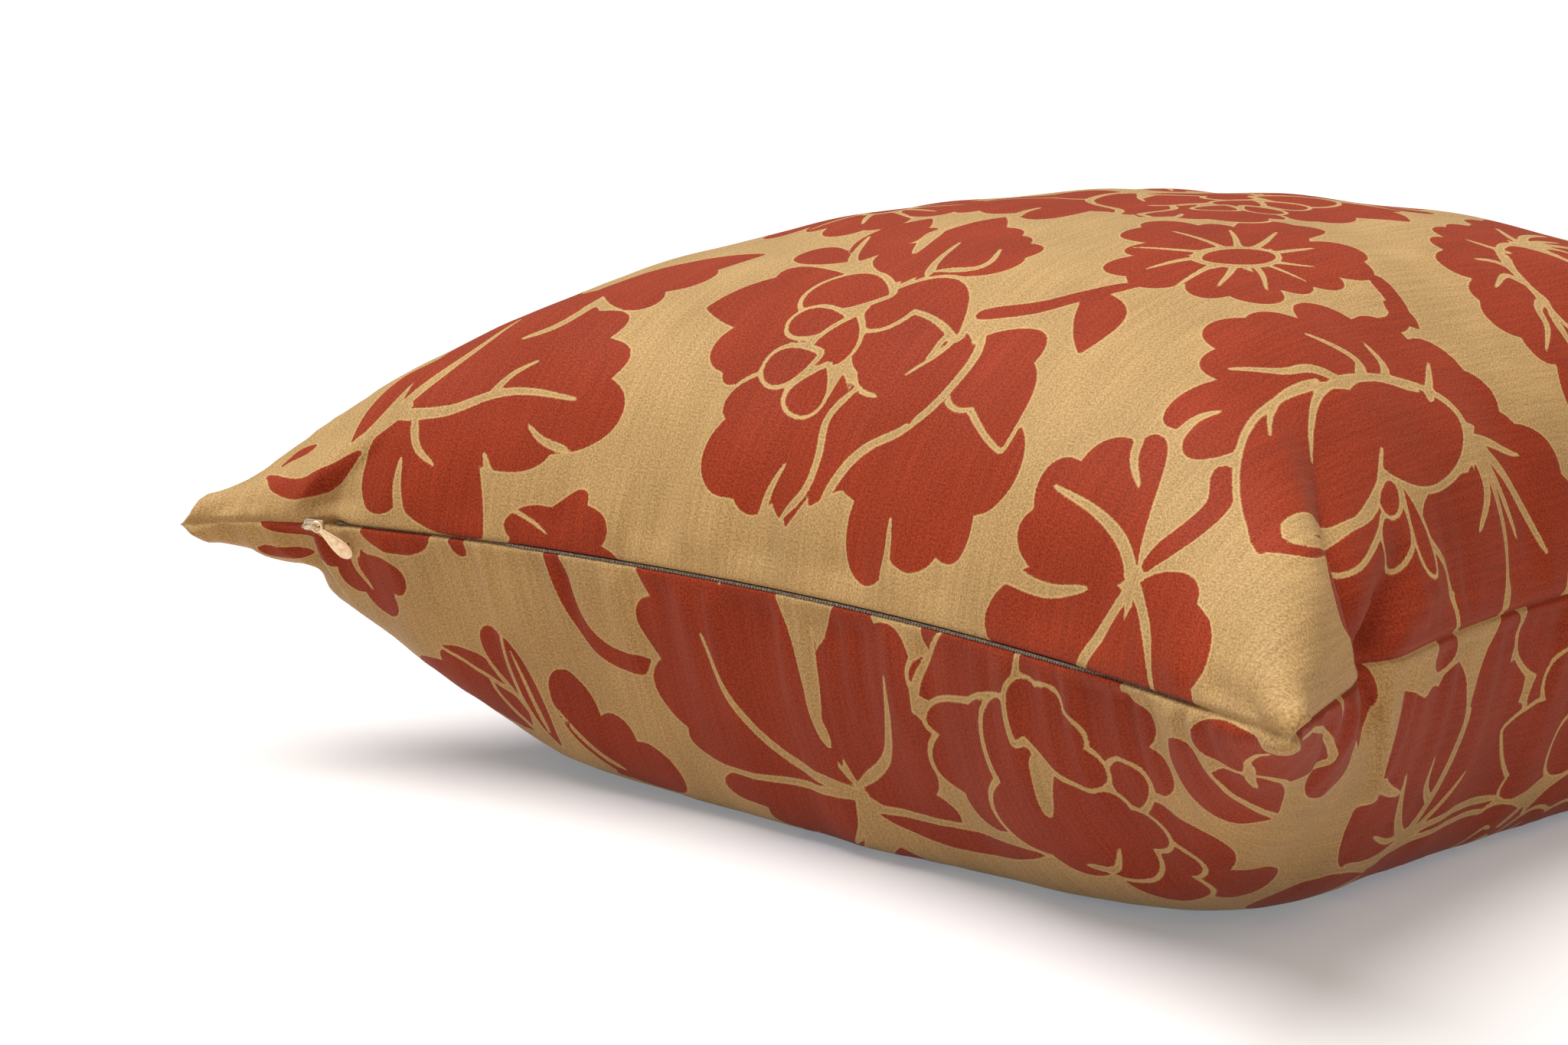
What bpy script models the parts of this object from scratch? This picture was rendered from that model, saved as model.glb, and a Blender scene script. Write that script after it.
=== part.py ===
"""Filled square cushion cover with a zip along one side, lying on its back panel.

Units are metres and +Z is up. The zip side faces -Y and its slider is at the -X end.
The origin is under the middle of the cushion, on the surface that it lies on.
Places on a panel are given by p and q, which run from -1 to 1 between opposite seams.
"""

import math

import bmesh
import bpy
from mathutils import Matrix, Vector

# Filled outline, seen from above
CORNER_REACH = 0.2085
ZIP_SIDE_REACH = 0.1694
PLAIN_SIDE_REACH = 0.1580
DRAW_IN_POWER = 2.0

# Seam, crown and belly
SEAM_HEIGHT = 0.0765
CROWN_RISE = 0.0942
CROWN_POWER = 3.12
CROWN_ROUNDNESS = 0.53
BELLY_DROP = 0.1660
BELLY_POWER = 2.10
BELLY_ROUNDNESS = 0.66
FLOOR_EASE = 0.018

# Droop of the ears at the four corners: sign of X, sign of Y, how far the tip hangs
EAR_DROOP_POWER = 7.0
EAR_DROOPS = (
    (-1, -1, 0.0055),
    (1, -1, -0.0015),
    (1, 1, 0.0030),
    (-1, 1, 0.0040),
)

# Main folds, as soft troughs along a line on a panel. A negative depth is a ridge.
# panel, from p, from q, to p, to q, half width, depth
FOLDS = (
    ("front", 0.86, -0.70, 0.985, -0.76, 0.010, 0.0060),
    ("front", 0.93, -0.93, 0.80, -0.80, 0.012, -0.0030),
    ("front", 0.97, -0.62, 0.90, -0.50, 0.011, 0.0050),
    ("front", -0.77, -0.985, -0.68, -0.90, 0.010, 0.0050),
    ("front", -0.86, -0.96, -0.84, -0.86, 0.010, -0.0020),
    ("front", 0.93, -0.985, 0.90, -0.96, 0.009, 0.0030),
    ("back", -0.88, -0.90, -0.74, -0.84, 0.020, 0.0050),
    ("back", 0.96, -0.72, 0.84, -0.64, 0.012, 0.0045),
    ("back", 0.72, -0.96, 0.64, -0.86, 0.012, 0.0035),
    ("front", -0.96, 0.66, -0.86, 0.58, 0.012, 0.0050),
    ("front", -0.68, 0.96, -0.60, 0.86, 0.012, 0.0045),
    ("front", 0.64, 0.965, 0.56, 0.86, 0.012, 0.0050),
    ("front", 0.965, 0.70, 0.86, 0.62, 0.012, 0.0040),
    ("back", -0.96, 0.62, -0.84, 0.54, 0.013, 0.0045),
    ("back", 0.66, 0.96, 0.58, 0.84, 0.013, 0.0045),
    ("back", -0.66, 0.96, -0.58, 0.84, 0.013, 0.0040),
)

# Gathers that fan in from the middle of each side, where the cloth is drawn in
GATHERS_PER_SIDE = 7
GATHER_DEPTH = 0.0018
GATHER_REACH = 0.20
GATHER_SPREAD = 0.62

# Share of a panel's half width next to its seams where the folds fade out
FOLD_FADE = 0.004

# Zip: where it starts and ends along its side, the groove it lies in, and its tape
ZIP_FROM = -0.80
ZIP_TO = 0.86
GROOVE_DEPTH = 0.0022
GROOVE_ROW = 0.0007
GROOVE_FADE = 0.05
TAPE_PROUD = 0.0002
TAPE_THICKNESS = 0.0009
TAPE_HALF_WIDTH = 0.0008
TAPE_LIFT = 0.0004

# Slider, its bridge and its pull
SLIDER_AT = -0.765
SLIDER_LENGTH = 0.0070
SLIDER_DEPTH = 0.0016
SLIDER_HEIGHT = 0.0034
SLIDER_ROUNDING = 0.0006
FIT_GAP = 0.0004
BRIDGE_WIRE = 0.0008
BRIDGE_SPAN = 0.0050
BRIDGE_RISE = 0.0036
PULL_LENGTH = 0.0155
PULL_WIDTH = 0.0050
PULL_EYE_WIDTH = 0.0038
PULL_EYE_HOLE = 0.0013
PULL_THICKNESS = 0.0010
PULL_TIP_AT = (-0.715, -0.985)
PULL_OFF_SLIDER = 0.0009
PULL_OFF_CLOTH = 0.0016

# Grid lines across a panel, closest together at the seams
PANEL_LINES = 50

FRONT = "front"
BACK = "back"


def clear_scene():
    """Start from an empty scene."""
    for old in list(bpy.data.objects):
        bpy.data.objects.remove(old, do_unlink=True)


def make_material(name, colour, roughness, metallic=0.0):
    """Return a plain finish of one colour."""
    material = bpy.data.materials.new(name)
    material.use_nodes = True
    shader = material.node_tree.nodes["Principled BSDF"]
    shader.inputs["Base Color"].default_value = (*colour, 1.0)
    shader.inputs["Roughness"].default_value = roughness
    shader.inputs["Metallic"].default_value = metallic
    return material


def outline_point(p, q):
    """Return x and y of a panel place, with every side drawn in between its corners."""
    half_x = PLAIN_SIDE_REACH + (CORNER_REACH - PLAIN_SIDE_REACH) * abs(q) ** DRAW_IN_POWER
    half_y = ZIP_SIDE_REACH + (CORNER_REACH - ZIP_SIDE_REACH) * abs(p) ** DRAW_IN_POWER
    return p * half_x, q * half_y


def seam_height(p, q):
    """Return the height of the plane between the panels, which sinks at the ears."""
    height = SEAM_HEIGHT
    for sign_x, sign_y, droop in EAR_DROOPS:
        if p * sign_x > 0 and q * sign_y > 0:
            height -= droop * abs(p * q) ** EAR_DROOP_POWER
    return height


def fullness(p, q, power, roundness):
    """Return 1 at the middle of a panel and 0 along its seams."""
    across = max(0.0, 1.0 - abs(p) ** power)
    along = max(0.0, 1.0 - abs(q) ** power)
    return (across * along) ** roundness


def rest_on_floor(height):
    """Flatten what would reach below the floor, with a smooth edge round the flat."""
    if height <= -FLOOR_EASE:
        return 0.0
    if height >= FLOOR_EASE:
        return height
    return (height + FLOOR_EASE) ** 2 / (4.0 * FLOOR_EASE)


def smooth_form(panel, p, q):
    """Return a place on a panel's filled form, before its folds and the floor."""
    x, y = outline_point(p, q)
    z = seam_height(p, q)
    if panel == FRONT:
        z += CROWN_RISE * fullness(p, q, CROWN_POWER, CROWN_ROUNDNESS)
    else:
        z -= BELLY_DROP * fullness(p, q, BELLY_POWER, BELLY_ROUNDNESS)
    return Vector((x, y, z))


def outward(panel, p, q):
    """Return the direction that faces out of the cushion at a panel place."""
    step = 0.004
    limit = 1.0 - step
    p = max(-limit, min(limit, p))
    q = max(-limit, min(limit, q))
    along_p = smooth_form(panel, p + step, q) - smooth_form(panel, p - step, q)
    along_q = smooth_form(panel, p, q + step) - smooth_form(panel, p, q - step)
    normal = along_p.cross(along_q).normalized()
    return normal if panel == FRONT else -normal


def distance_to_line(x, y, start, end):
    """Return how far a point is from a straight line between two others, seen from above."""
    run_x = end[0] - start[0]
    run_y = end[1] - start[1]
    length_squared = run_x * run_x + run_y * run_y
    share = ((x - start[0]) * run_x + (y - start[1]) * run_y) / length_squared
    share = max(0.0, min(1.0, share))
    return math.hypot(x - start[0] - share * run_x, y - start[1] - share * run_y)


def fold_depth(panel, p, q):
    """Return how far the main folds press the cloth in at a panel place."""
    x, y = outline_point(p, q)
    depth = 0.0
    for fold_panel, from_p, from_q, to_p, to_q, half_width, fold in FOLDS:
        if fold_panel != panel:
            continue
        start = outline_point(from_p, from_q)
        end = outline_point(to_p, to_q)
        distance = distance_to_line(x, y, start, end)
        depth += fold * math.exp(-(distance / half_width) ** 2)
    return depth


def gather_depth(p, q):
    """Return how far the soft gathers press in near the middle of the sides."""
    depth = 0.0
    for along, away in ((p, 1.0 - abs(q)), (q, 1.0 - abs(p))):
        if abs(along) >= GATHER_SPREAD:
            continue
        middle = math.cos(0.5 * math.pi * along / GATHER_SPREAD)
        wave = 0.5 + 0.5 * math.cos(GATHERS_PER_SIDE * math.pi * along / GATHER_SPREAD)
        depth += GATHER_DEPTH * middle * wave * math.exp(-away / GATHER_REACH)
    return depth


def zip_share(p):
    """Return 1 along the zip and 0 past its ends."""
    start = (p - ZIP_FROM) / GROOVE_FADE
    end = (ZIP_TO - p) / GROOVE_FADE
    return max(0.0, min(1.0, start, end))


def panel_point(panel, p, q):
    """Return a place on a panel's outside."""
    point = smooth_form(panel, p, q)
    at_seam = abs(p) > 0.9999999 or abs(q) > 0.9999999
    if at_seam:
        if q < 0 and abs(p) < 1.0:
            point.y += GROOVE_DEPTH * zip_share(p)
        return point
    fade_p = min(1.0, (1.0 - abs(p)) / FOLD_FADE)
    fade_q = min(1.0, (1.0 - abs(q)) / FOLD_FADE)
    press = fade_p * fade_q * (fold_depth(panel, p, q) + gather_depth(p, q))
    point -= outward(panel, p, q) * press
    if panel == BACK:
        point.z = rest_on_floor(point.z)
    return point


def line_places(with_groove_row):
    """Return where the grid lines cross a side, from -1 to 1."""
    count = PANEL_LINES - 1 if with_groove_row else PANEL_LINES
    places = [math.sin(0.5 * math.pi * (2.0 * i / count - 1.0)) for i in range(count + 1)]
    places[0] = -1.0
    places[-1] = 1.0
    if with_groove_row:
        places.insert(1, -1.0 + GROOVE_ROW)
    return places


def add_panel(body, panel):
    """Add one panel to the body, as a grid laid over the filled form."""
    p_places = line_places(False)
    q_places = line_places(True)
    grid = bmesh.ops.create_grid(body, x_segments=PANEL_LINES, y_segments=PANEL_LINES, size=1.0)
    for vert in grid["verts"]:
        column = round((vert.co.x + 1.0) * 0.5 * PANEL_LINES)
        row = round((vert.co.y + 1.0) * 0.5 * PANEL_LINES)
        vert.co = panel_point(panel, p_places[column], q_places[row])
    faces = list({face for vert in grid["verts"] for face in vert.link_faces})
    if panel == BACK:
        bmesh.ops.reverse_faces(body, faces=faces)


def object_from(name, body, material, smooth_angle=None):
    """Make a mesh object in the cushion's collection from a finished bmesh."""
    mesh = bpy.data.meshes.new(name)
    body.to_mesh(mesh)
    body.free()
    thing = bpy.data.objects.new(name, mesh)
    bpy.data.collections["cushion"].objects.link(thing)
    mesh.materials.append(material)
    if smooth_angle is not None:
        mesh.shade_smooth()
        mesh.set_sharp_from_angle(angle=math.radians(smooth_angle))
    return thing


def build_cover():
    """Build the filled cover: two panels sewn together along all four sides."""
    body = bmesh.new()
    add_panel(body, FRONT)
    add_panel(body, BACK)
    bmesh.ops.remove_doubles(body, verts=body.verts, dist=0.00001)
    bmesh.ops.triangulate(body, faces=body.faces)
    cloth = make_material("gold_and_red_satin", (0.42, 0.20, 0.07), 0.55)
    return object_from("cushion_cover", body, cloth, smooth_angle=50)


def zip_side_place(p):
    """Return the seam point at p on the zip side and the direction that faces out there."""
    x, y = outline_point(p, -1.0)
    step = 0.002
    ahead = Vector((*outline_point(p + step, -1.0), 0.0))
    behind = Vector((*outline_point(p - step, -1.0), 0.0))
    along = (ahead - behind).normalized()
    facing = along.cross(Vector((0.0, 0.0, 1.0)))
    return Vector((x, y, seam_height(p, -1.0))), facing, along


def build_tape():
    """Build the closed teeth and tape as one thin strip that lies in the groove."""
    start = ZIP_FROM + GROOVE_FADE
    end = ZIP_TO - GROOVE_FADE
    places = [p for p in line_places(False) if start < p < end]
    body = bmesh.new()
    bmesh.ops.create_grid(body, x_segments=len(places) - 1, y_segments=1, size=1.0)
    last = len(places) - 1
    for vert in body.verts:
        column = round((vert.co.x + 1.0) * 0.5 * last)
        side = vert.co.y
        seam, facing, _ = zip_side_place(places[column])
        lift = TAPE_LIFT + side * TAPE_HALF_WIDTH
        vert.co = seam + facing * TAPE_PROUD + Vector((0.0, 0.0, lift))
    body.faces.ensure_lookup_table()
    body.normal_update()
    if body.faces[0].normal.y > 0:
        bmesh.ops.reverse_faces(body, faces=body.faces)
    thing = object_from("zip_tape", body, make_material("tape_grey", (0.20, 0.19, 0.18), 0.6))
    shell = thing.modifiers.new("thickness", "SOLIDIFY")
    shell.thickness = TAPE_THICKNESS
    shell.offset = -1.0
    return thing


def slider_frame():
    """Return the slider's place, turned so that X runs along the zip and Y faces out."""
    seam, facing, along = zip_side_place(SLIDER_AT)
    down = along.cross(facing)
    turn = Matrix((along, facing, down)).transposed().to_4x4()
    return Matrix.Translation(seam) @ turn


def mesh_from_curve(curve_object):
    """Turn a curve object into a closed mesh in world space, and remove the curve."""
    graph = bpy.context.evaluated_depsgraph_get()
    mesh = bpy.data.meshes.new_from_object(curve_object.evaluated_get(graph))
    mesh.transform(curve_object.matrix_world)
    body = bmesh.new()
    body.from_mesh(mesh)
    bmesh.ops.remove_doubles(body, verts=body.verts, dist=0.000005)
    bmesh.ops.recalc_face_normals(body, faces=body.faces)
    bpy.data.objects.remove(curve_object, do_unlink=True)
    return body


def curve_object(name, dimensions):
    """Make an empty curve object in the cushion's collection."""
    curve = bpy.data.curves.new(name, "CURVE")
    curve.dimensions = dimensions
    thing = bpy.data.objects.new(name, curve)
    bpy.data.collections["cushion"].objects.link(thing)
    return thing


def arc_points(centre_x, radius, start_degrees, end_degrees, steps):
    """Return the points of an arc in the XY plane, round a centre on the X axis."""
    points = []
    for i in range(steps + 1):
        angle = math.radians(start_degrees + (end_degrees - start_degrees) * i / steps)
        points.append((centre_x + radius * math.cos(angle), radius * math.sin(angle), 0.0))
    return points


def add_poly(curve, points, closed):
    """Add a straight-sided spline through points."""
    spline = curve.splines.new("POLY")
    spline.points.add(len(points) - 1)
    for target, point in zip(spline.points, points):
        target.co = (*point, 1.0)
    spline.use_cyclic_u = closed


def build_slider():
    """Build the slider's body with the wire bridge that holds the pull."""
    brass = make_material("pale_brass", (0.55, 0.47, 0.33), 0.35, 1.0)
    frame = slider_frame()
    body = bmesh.new()
    bmesh.ops.create_cube(body, size=1.0)
    middle_out = FIT_GAP + 0.5 * SLIDER_DEPTH
    bmesh.ops.scale(body, vec=(SLIDER_LENGTH, SLIDER_DEPTH, SLIDER_HEIGHT), verts=body.verts)
    bmesh.ops.bevel(
        body,
        geom=body.edges,
        offset=SLIDER_ROUNDING,
        segments=2,
        profile=0.5,
        affect="EDGES",
    )
    bmesh.ops.translate(body, vec=(0.0, middle_out, 0.0), verts=body.verts)
    bmesh.ops.recalc_face_normals(body, faces=body.faces)
    slider = object_from("zip_slider", body, brass)
    slider.matrix_world = frame
    bridge = curve_object("bridge_wire_curve", "3D")
    bridge.data.bevel_depth = 0.5 * BRIDGE_WIRE
    bridge.data.bevel_resolution = 2
    bridge.data.use_fill_caps = True
    foot = FIT_GAP + 0.5 * SLIDER_DEPTH
    face = FIT_GAP + SLIDER_DEPTH
    arch = [(-0.5 * BRIDGE_SPAN, foot, 0.0)]
    for x, y, _ in arc_points(0.0, 1.0, 180.0, 0.0, 10):
        arch.append((0.5 * BRIDGE_SPAN * x, face + BRIDGE_RISE * y, 0.0))
    arch.append((0.5 * BRIDGE_SPAN, foot, 0.0))
    add_poly(bridge.data, arch, False)
    bridge.matrix_world = frame
    bpy.context.view_layer.update()
    wire = object_from("bridge_wire", mesh_from_curve(bridge), brass)
    bpy.data.collections["cushion"].objects.unlink(wire)
    bpy.data.collections["cutters"].objects.link(wire)
    wire.hide_render = True
    wire.display_type = "WIRE"
    join = slider.modifiers.new("bridge", "BOOLEAN")
    join.operation = "UNION"
    join.object = wire
    return slider


def build_pull():
    """Build the drop-shaped pull, hooked on the bridge and lying against the back panel."""
    frame = slider_frame()
    face = FIT_GAP + SLIDER_DEPTH
    eye_out = face + PULL_OFF_SLIDER + 0.5 * PULL_THICKNESS
    eye = frame @ Vector((0.5 * BRIDGE_SPAN, eye_out, 0.0))
    cloth = panel_point(BACK, *PULL_TIP_AT)
    clear = PULL_OFF_CLOTH + 0.5 * PULL_THICKNESS
    tip = cloth + outward(BACK, *PULL_TIP_AT) * clear
    along = (tip - eye).normalized()
    facing = frame.to_3x3() @ Vector((0.0, 1.0, 0.0))
    across = along.cross(facing).normalized()
    facing = across.cross(along).normalized()
    turn = Matrix((along, across, facing)).transposed().to_4x4()
    pull = curve_object("pull_outline", "2D")
    pull.data.fill_mode = "BOTH"
    pull.data.extrude = 0.5 * PULL_THICKNESS
    shoulder = PULL_LENGTH - 0.5 * PULL_WIDTH - 0.5 * PULL_EYE_WIDTH
    outline = arc_points(shoulder, 0.5 * PULL_WIDTH, -80.0, 80.0, 8)
    outline += arc_points(0.0, 0.5 * PULL_EYE_WIDTH, 95.0, 265.0, 8)
    hole = arc_points(0.0, PULL_EYE_HOLE, 0.0, 330.0, 11)
    add_poly(pull.data, outline, True)
    add_poly(pull.data, hole, True)
    pull.matrix_world = Matrix.Translation(eye) @ turn
    bpy.context.view_layer.update()
    cream = make_material("pull_cream", (0.72, 0.60, 0.42), 0.3)
    return object_from("zip_pull", mesh_from_curve(pull), cream)


def build():
    """Build the whole cushion cover."""
    clear_scene()
    for name in ("cushion", "cutters"):
        bpy.context.scene.collection.children.link(bpy.data.collections.new(name))
    build_cover()
    build_tape()
    build_slider()
    build_pull()


build()
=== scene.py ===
"""Looks of a filled square cushion cover: gold satin with woven brick-red flowers.

Units are metres and +Z is up. The zip side faces -Y and its slider is at the -X end.
Places in the cloth are u and v in millimetres from the middle of a panel, which is
450 mm square when flat. Places on the filled form are p and q, from -1 to 1.
"""
import math

import bmesh
import bpy
import numpy as np
from mathutils import Matrix, Vector, geometry


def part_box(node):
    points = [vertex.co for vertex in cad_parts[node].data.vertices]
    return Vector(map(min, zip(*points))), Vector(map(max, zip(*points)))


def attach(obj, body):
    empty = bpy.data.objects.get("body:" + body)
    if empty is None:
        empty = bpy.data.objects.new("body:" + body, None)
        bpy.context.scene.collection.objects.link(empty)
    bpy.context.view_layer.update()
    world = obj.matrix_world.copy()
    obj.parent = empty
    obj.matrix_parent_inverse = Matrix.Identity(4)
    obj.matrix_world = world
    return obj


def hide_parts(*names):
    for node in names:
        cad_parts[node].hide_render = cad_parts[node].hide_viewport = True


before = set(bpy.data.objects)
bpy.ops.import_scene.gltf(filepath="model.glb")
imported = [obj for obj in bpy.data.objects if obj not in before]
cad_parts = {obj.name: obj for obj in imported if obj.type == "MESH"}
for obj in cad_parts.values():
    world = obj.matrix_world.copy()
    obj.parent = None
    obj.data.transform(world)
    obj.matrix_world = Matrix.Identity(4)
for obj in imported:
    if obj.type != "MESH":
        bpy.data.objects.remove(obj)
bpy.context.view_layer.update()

FRONT = "front"
BACK = "back"
PANELS = (FRONT, BACK)
MM = 0.001
TINY = 1e-12

# Filled outline, seen from above
CORNER_REACH = 0.2085
ZIP_SIDE_REACH = 0.1694
PLAIN_SIDE_REACH = 0.1580
DRAW_IN_POWER = 2.0

# Seam, crown and belly
SEAM_HEIGHT = 0.0765
CROWN_RISE = 0.0942
CROWN_POWER = 3.12
CROWN_ROUNDNESS = 0.53
BELLY_DROP = 0.1660
BELLY_POWER = 2.10
BELLY_ROUNDNESS = 0.66
FLOOR_EASE = 0.018

# Droop of the ears at the four corners: sign of X, sign of Y, how far the tip hangs
EAR_DROOP_POWER = 7.0
EAR_DROOPS = (
    (-1, -1, 0.0055),
    (1, -1, -0.0015),
    (1, 1, 0.0030),
    (-1, 1, 0.0040),
)

# Main folds, as soft troughs along a line on a panel. A negative depth is a ridge.
# panel, from p, from q, to p, to q, half width, depth
FOLDS = (
    (BACK, 0.72, -0.96, 0.64, -0.86, 0.012, 0.0035),
    (FRONT, -0.96, 0.66, -0.86, 0.58, 0.012, 0.0050),
    (FRONT, -0.68, 0.96, -0.60, 0.86, 0.012, 0.0045),
    (FRONT, 0.64, 0.965, 0.56, 0.86, 0.012, 0.0050),
    (FRONT, 0.965, 0.70, 0.86, 0.62, 0.012, 0.0040),
    (BACK, -0.96, 0.62, -0.84, 0.54, 0.013, 0.0045),
    (BACK, 0.66, 0.96, 0.58, 0.84, 0.013, 0.0045),
    (BACK, -0.66, 0.96, -0.58, 0.84, 0.013, 0.0040),
)

# Gathers that fan in from the middle of each side, where the cloth is drawn in
GATHERS_PER_SIDE = 7
GATHER_DEPTH = 0.0018
GATHER_REACH = 0.20
GATHER_SPREAD = 0.62

# How near the seams, in p and q, all folds fade out
FOLD_FADE = 0.004

# Zip: where it starts and ends along its side
ZIP_FROM = -0.80
ZIP_TO = 0.86
GROOVE_FADE = 0.05

# Flat cloth: half a panel in mm, grid lines of its even lay, rounds of evening out, and how
# much the places near the seams are spread while they are read off
HALF_CLOTH = 225.0
LAY_LINES = 90
LAY_ROUNDS = 24
EDGE_POWER = 0.6


def outline_xy(p, q):
    """Return x and y of panel places, with every side drawn in between its corners."""
    half_x = PLAIN_SIDE_REACH + (CORNER_REACH - PLAIN_SIDE_REACH) * np.abs(q) ** DRAW_IN_POWER
    half_y = ZIP_SIDE_REACH + (CORNER_REACH - ZIP_SIDE_REACH) * np.abs(p) ** DRAW_IN_POWER
    return p * half_x, q * half_y


def seam_height(p, q):
    """Return the height of the plane between the panels, which sinks at the ears."""
    height = np.full(np.shape(p), SEAM_HEIGHT)
    for sign_x, sign_y, droop in EAR_DROOPS:
        here = (p * sign_x > 0) & (q * sign_y > 0)
        height = height - np.where(here, droop * np.abs(p * q) ** EAR_DROOP_POWER, 0.0)
    return height


def fullness(p, q, power, roundness):
    """Return 1 at the middle of a panel and 0 along its seams."""
    across = np.maximum(0.0, 1.0 - np.abs(p) ** power)
    along = np.maximum(0.0, 1.0 - np.abs(q) ** power)
    return (across * along) ** roundness


def rest_on_floor(height):
    """Flatten what would reach below the floor, with a smooth edge round the flat."""
    eased = (height + FLOOR_EASE) ** 2 / (4.0 * FLOOR_EASE)
    eased = np.where(height <= -FLOOR_EASE, 0.0, eased)
    return np.where(height >= FLOOR_EASE, height, eased)


def smooth_form(panel, p, q):
    """Return places on a panel's filled form, before its folds and the floor."""
    x, y = outline_xy(p, q)
    z = seam_height(p, q)
    if panel == FRONT:
        z = z + CROWN_RISE * fullness(p, q, CROWN_POWER, CROWN_ROUNDNESS)
    else:
        z = z - BELLY_DROP * fullness(p, q, BELLY_POWER, BELLY_ROUNDNESS)
    return np.stack([x, y, z], axis=-1)


def unit(vectors):
    """Return vectors scaled to length 1."""
    return vectors / (np.linalg.norm(vectors, axis=-1, keepdims=True) + TINY)


def outward(panel, p, q):
    """Return the directions that face out of the cushion at panel places."""
    step = 0.004
    limit = 1.0 - step
    p = np.clip(p, -limit, limit)
    q = np.clip(q, -limit, limit)
    along_p = smooth_form(panel, p + step, q) - smooth_form(panel, p - step, q)
    along_q = smooth_form(panel, p, q + step) - smooth_form(panel, p, q - step)
    normal = unit(np.cross(along_p, along_q))
    return normal if panel == FRONT else -normal


def distance_to_line(x, y, start, end):
    """Return how far points are from a straight line between two others."""
    run_x = end[0] - start[0]
    run_y = end[1] - start[1]
    length_squared = run_x * run_x + run_y * run_y + TINY
    share = ((x - start[0]) * run_x + (y - start[1]) * run_y) / length_squared
    share = np.clip(share, 0.0, 1.0)
    return np.hypot(x - start[0] - share * run_x, y - start[1] - share * run_y)


def fold_depth(panel, p, q):
    """Return how far the main folds press the cloth in at panel places."""
    x, y = outline_xy(p, q)
    depth = np.zeros(np.shape(p))
    for fold_panel, from_p, from_q, to_p, to_q, half_width, fold in FOLDS:
        if fold_panel != panel:
            continue
        start = outline_xy(from_p, from_q)
        end = outline_xy(to_p, to_q)
        distance = distance_to_line(x, y, start, end)
        depth += fold * np.exp(-(distance / half_width) ** 2)
    return depth


def gather_depth(p, q):
    """Return how far the soft gathers press in near the middle of the sides."""
    depth = np.zeros(np.shape(p))
    for along, away in ((p, 1.0 - np.abs(q)), (q, 1.0 - np.abs(p))):
        middle = np.cos(0.5 * math.pi * along / GATHER_SPREAD)
        wave = 0.5 + 0.5 * np.cos(GATHERS_PER_SIDE * math.pi * along / GATHER_SPREAD)
        gather = GATHER_DEPTH * middle * wave * np.exp(-away / GATHER_REACH)
        depth += np.where(np.abs(along) < GATHER_SPREAD, gather, 0.0)
    return depth


def share_between(value, start, end, fade):
    """Return 1 between two places and 0 past them, with a fade inside each."""
    return np.clip(np.minimum((value - start) / fade, (end - value) / fade), 0.0, 1.0)


def evened_along(panel, p_lines, q_lines):
    """Move the places on each line of a grid so that they lie evenly over the form."""
    finer = 8
    count = p_lines.shape[0]
    fine = np.linspace(0, count - 1, (count - 1) * finer + 1)
    low = np.minimum(fine.astype(int), count - 2)
    share = (fine - low)[:, None]
    fine_p = p_lines[low] * (1 - share) + p_lines[low + 1] * share
    fine_q = q_lines[low] * (1 - share) + q_lines[low + 1] * share
    places = smooth_form(panel, fine_p, fine_q)
    if panel == BACK:
        places[..., 2] = rest_on_floor(places[..., 2])
    steps = np.linalg.norm(np.diff(places, axis=0), axis=2)
    run = np.concatenate([np.zeros((1, p_lines.shape[1])), np.cumsum(steps, axis=0)])
    even_p = np.empty_like(p_lines)
    even_q = np.empty_like(q_lines)
    for line in range(p_lines.shape[1]):
        target = np.linspace(0, run[-1, line], count)
        even_p[:, line] = np.interp(target, run[:, line], fine_p[:, line])
        even_q[:, line] = np.interp(target, run[:, line], fine_q[:, line])
    return even_p, even_q


def lay_cloth(panel):
    """Return p and q of an even grid in the cloth, as a real panel spreads over the form."""
    places = np.sin(np.linspace(-1, 1, LAY_LINES + 1) * math.pi / 2)
    lay_p, lay_q = np.meshgrid(places, places, indexing="ij")
    for _ in range(LAY_ROUNDS):
        lay_p, lay_q = evened_along(panel, lay_p, lay_q)
        turned_p, turned_q = evened_along(panel, lay_p.T, lay_q.T)
        lay_p = turned_p.T
        lay_q = turned_q.T
    return lay_p, lay_q


def stretched_edge(value):
    """Spread -1 to 1 so that places near the seams can be read off in even steps."""
    return np.sign(value) * (1 - (1 - np.abs(value)) ** EDGE_POWER)


def unstretched_edge(value):
    """Undo stretched_edge."""
    return np.sign(value) * (1 - (1 - np.abs(value)) ** (1 / EDGE_POWER))


LAYS = {}
for panel_name in PANELS:
    LAYS[panel_name] = [stretched_edge(np.clip(a, -1, 1)) for a in lay_cloth(panel_name)]


def read_grid(grid, u, v):
    """Return values of a grid over the cloth at places between its points."""
    last = grid.shape[0] - 1
    across = np.clip((u / HALF_CLOTH + 1) / 2 * last, 0, last)
    along = np.clip((v / HALF_CLOTH + 1) / 2 * last, 0, last)
    i = np.minimum(across.astype(int), last - 1)
    j = np.minimum(along.astype(int), last - 1)
    a = across - i
    b = along - j
    low = grid[i, j] * (1 - a) + grid[i + 1, j] * a
    high = grid[i, j + 1] * (1 - a) + grid[i + 1, j + 1] * a
    return low * (1 - b) + high * b


def form_places(panel, u, v):
    """Return p and q where places in the cloth lie on the form."""
    lay_p, lay_q = LAYS[panel]
    return unstretched_edge(read_grid(lay_p, u, v)), unstretched_edge(read_grid(lay_q, u, v))


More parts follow.
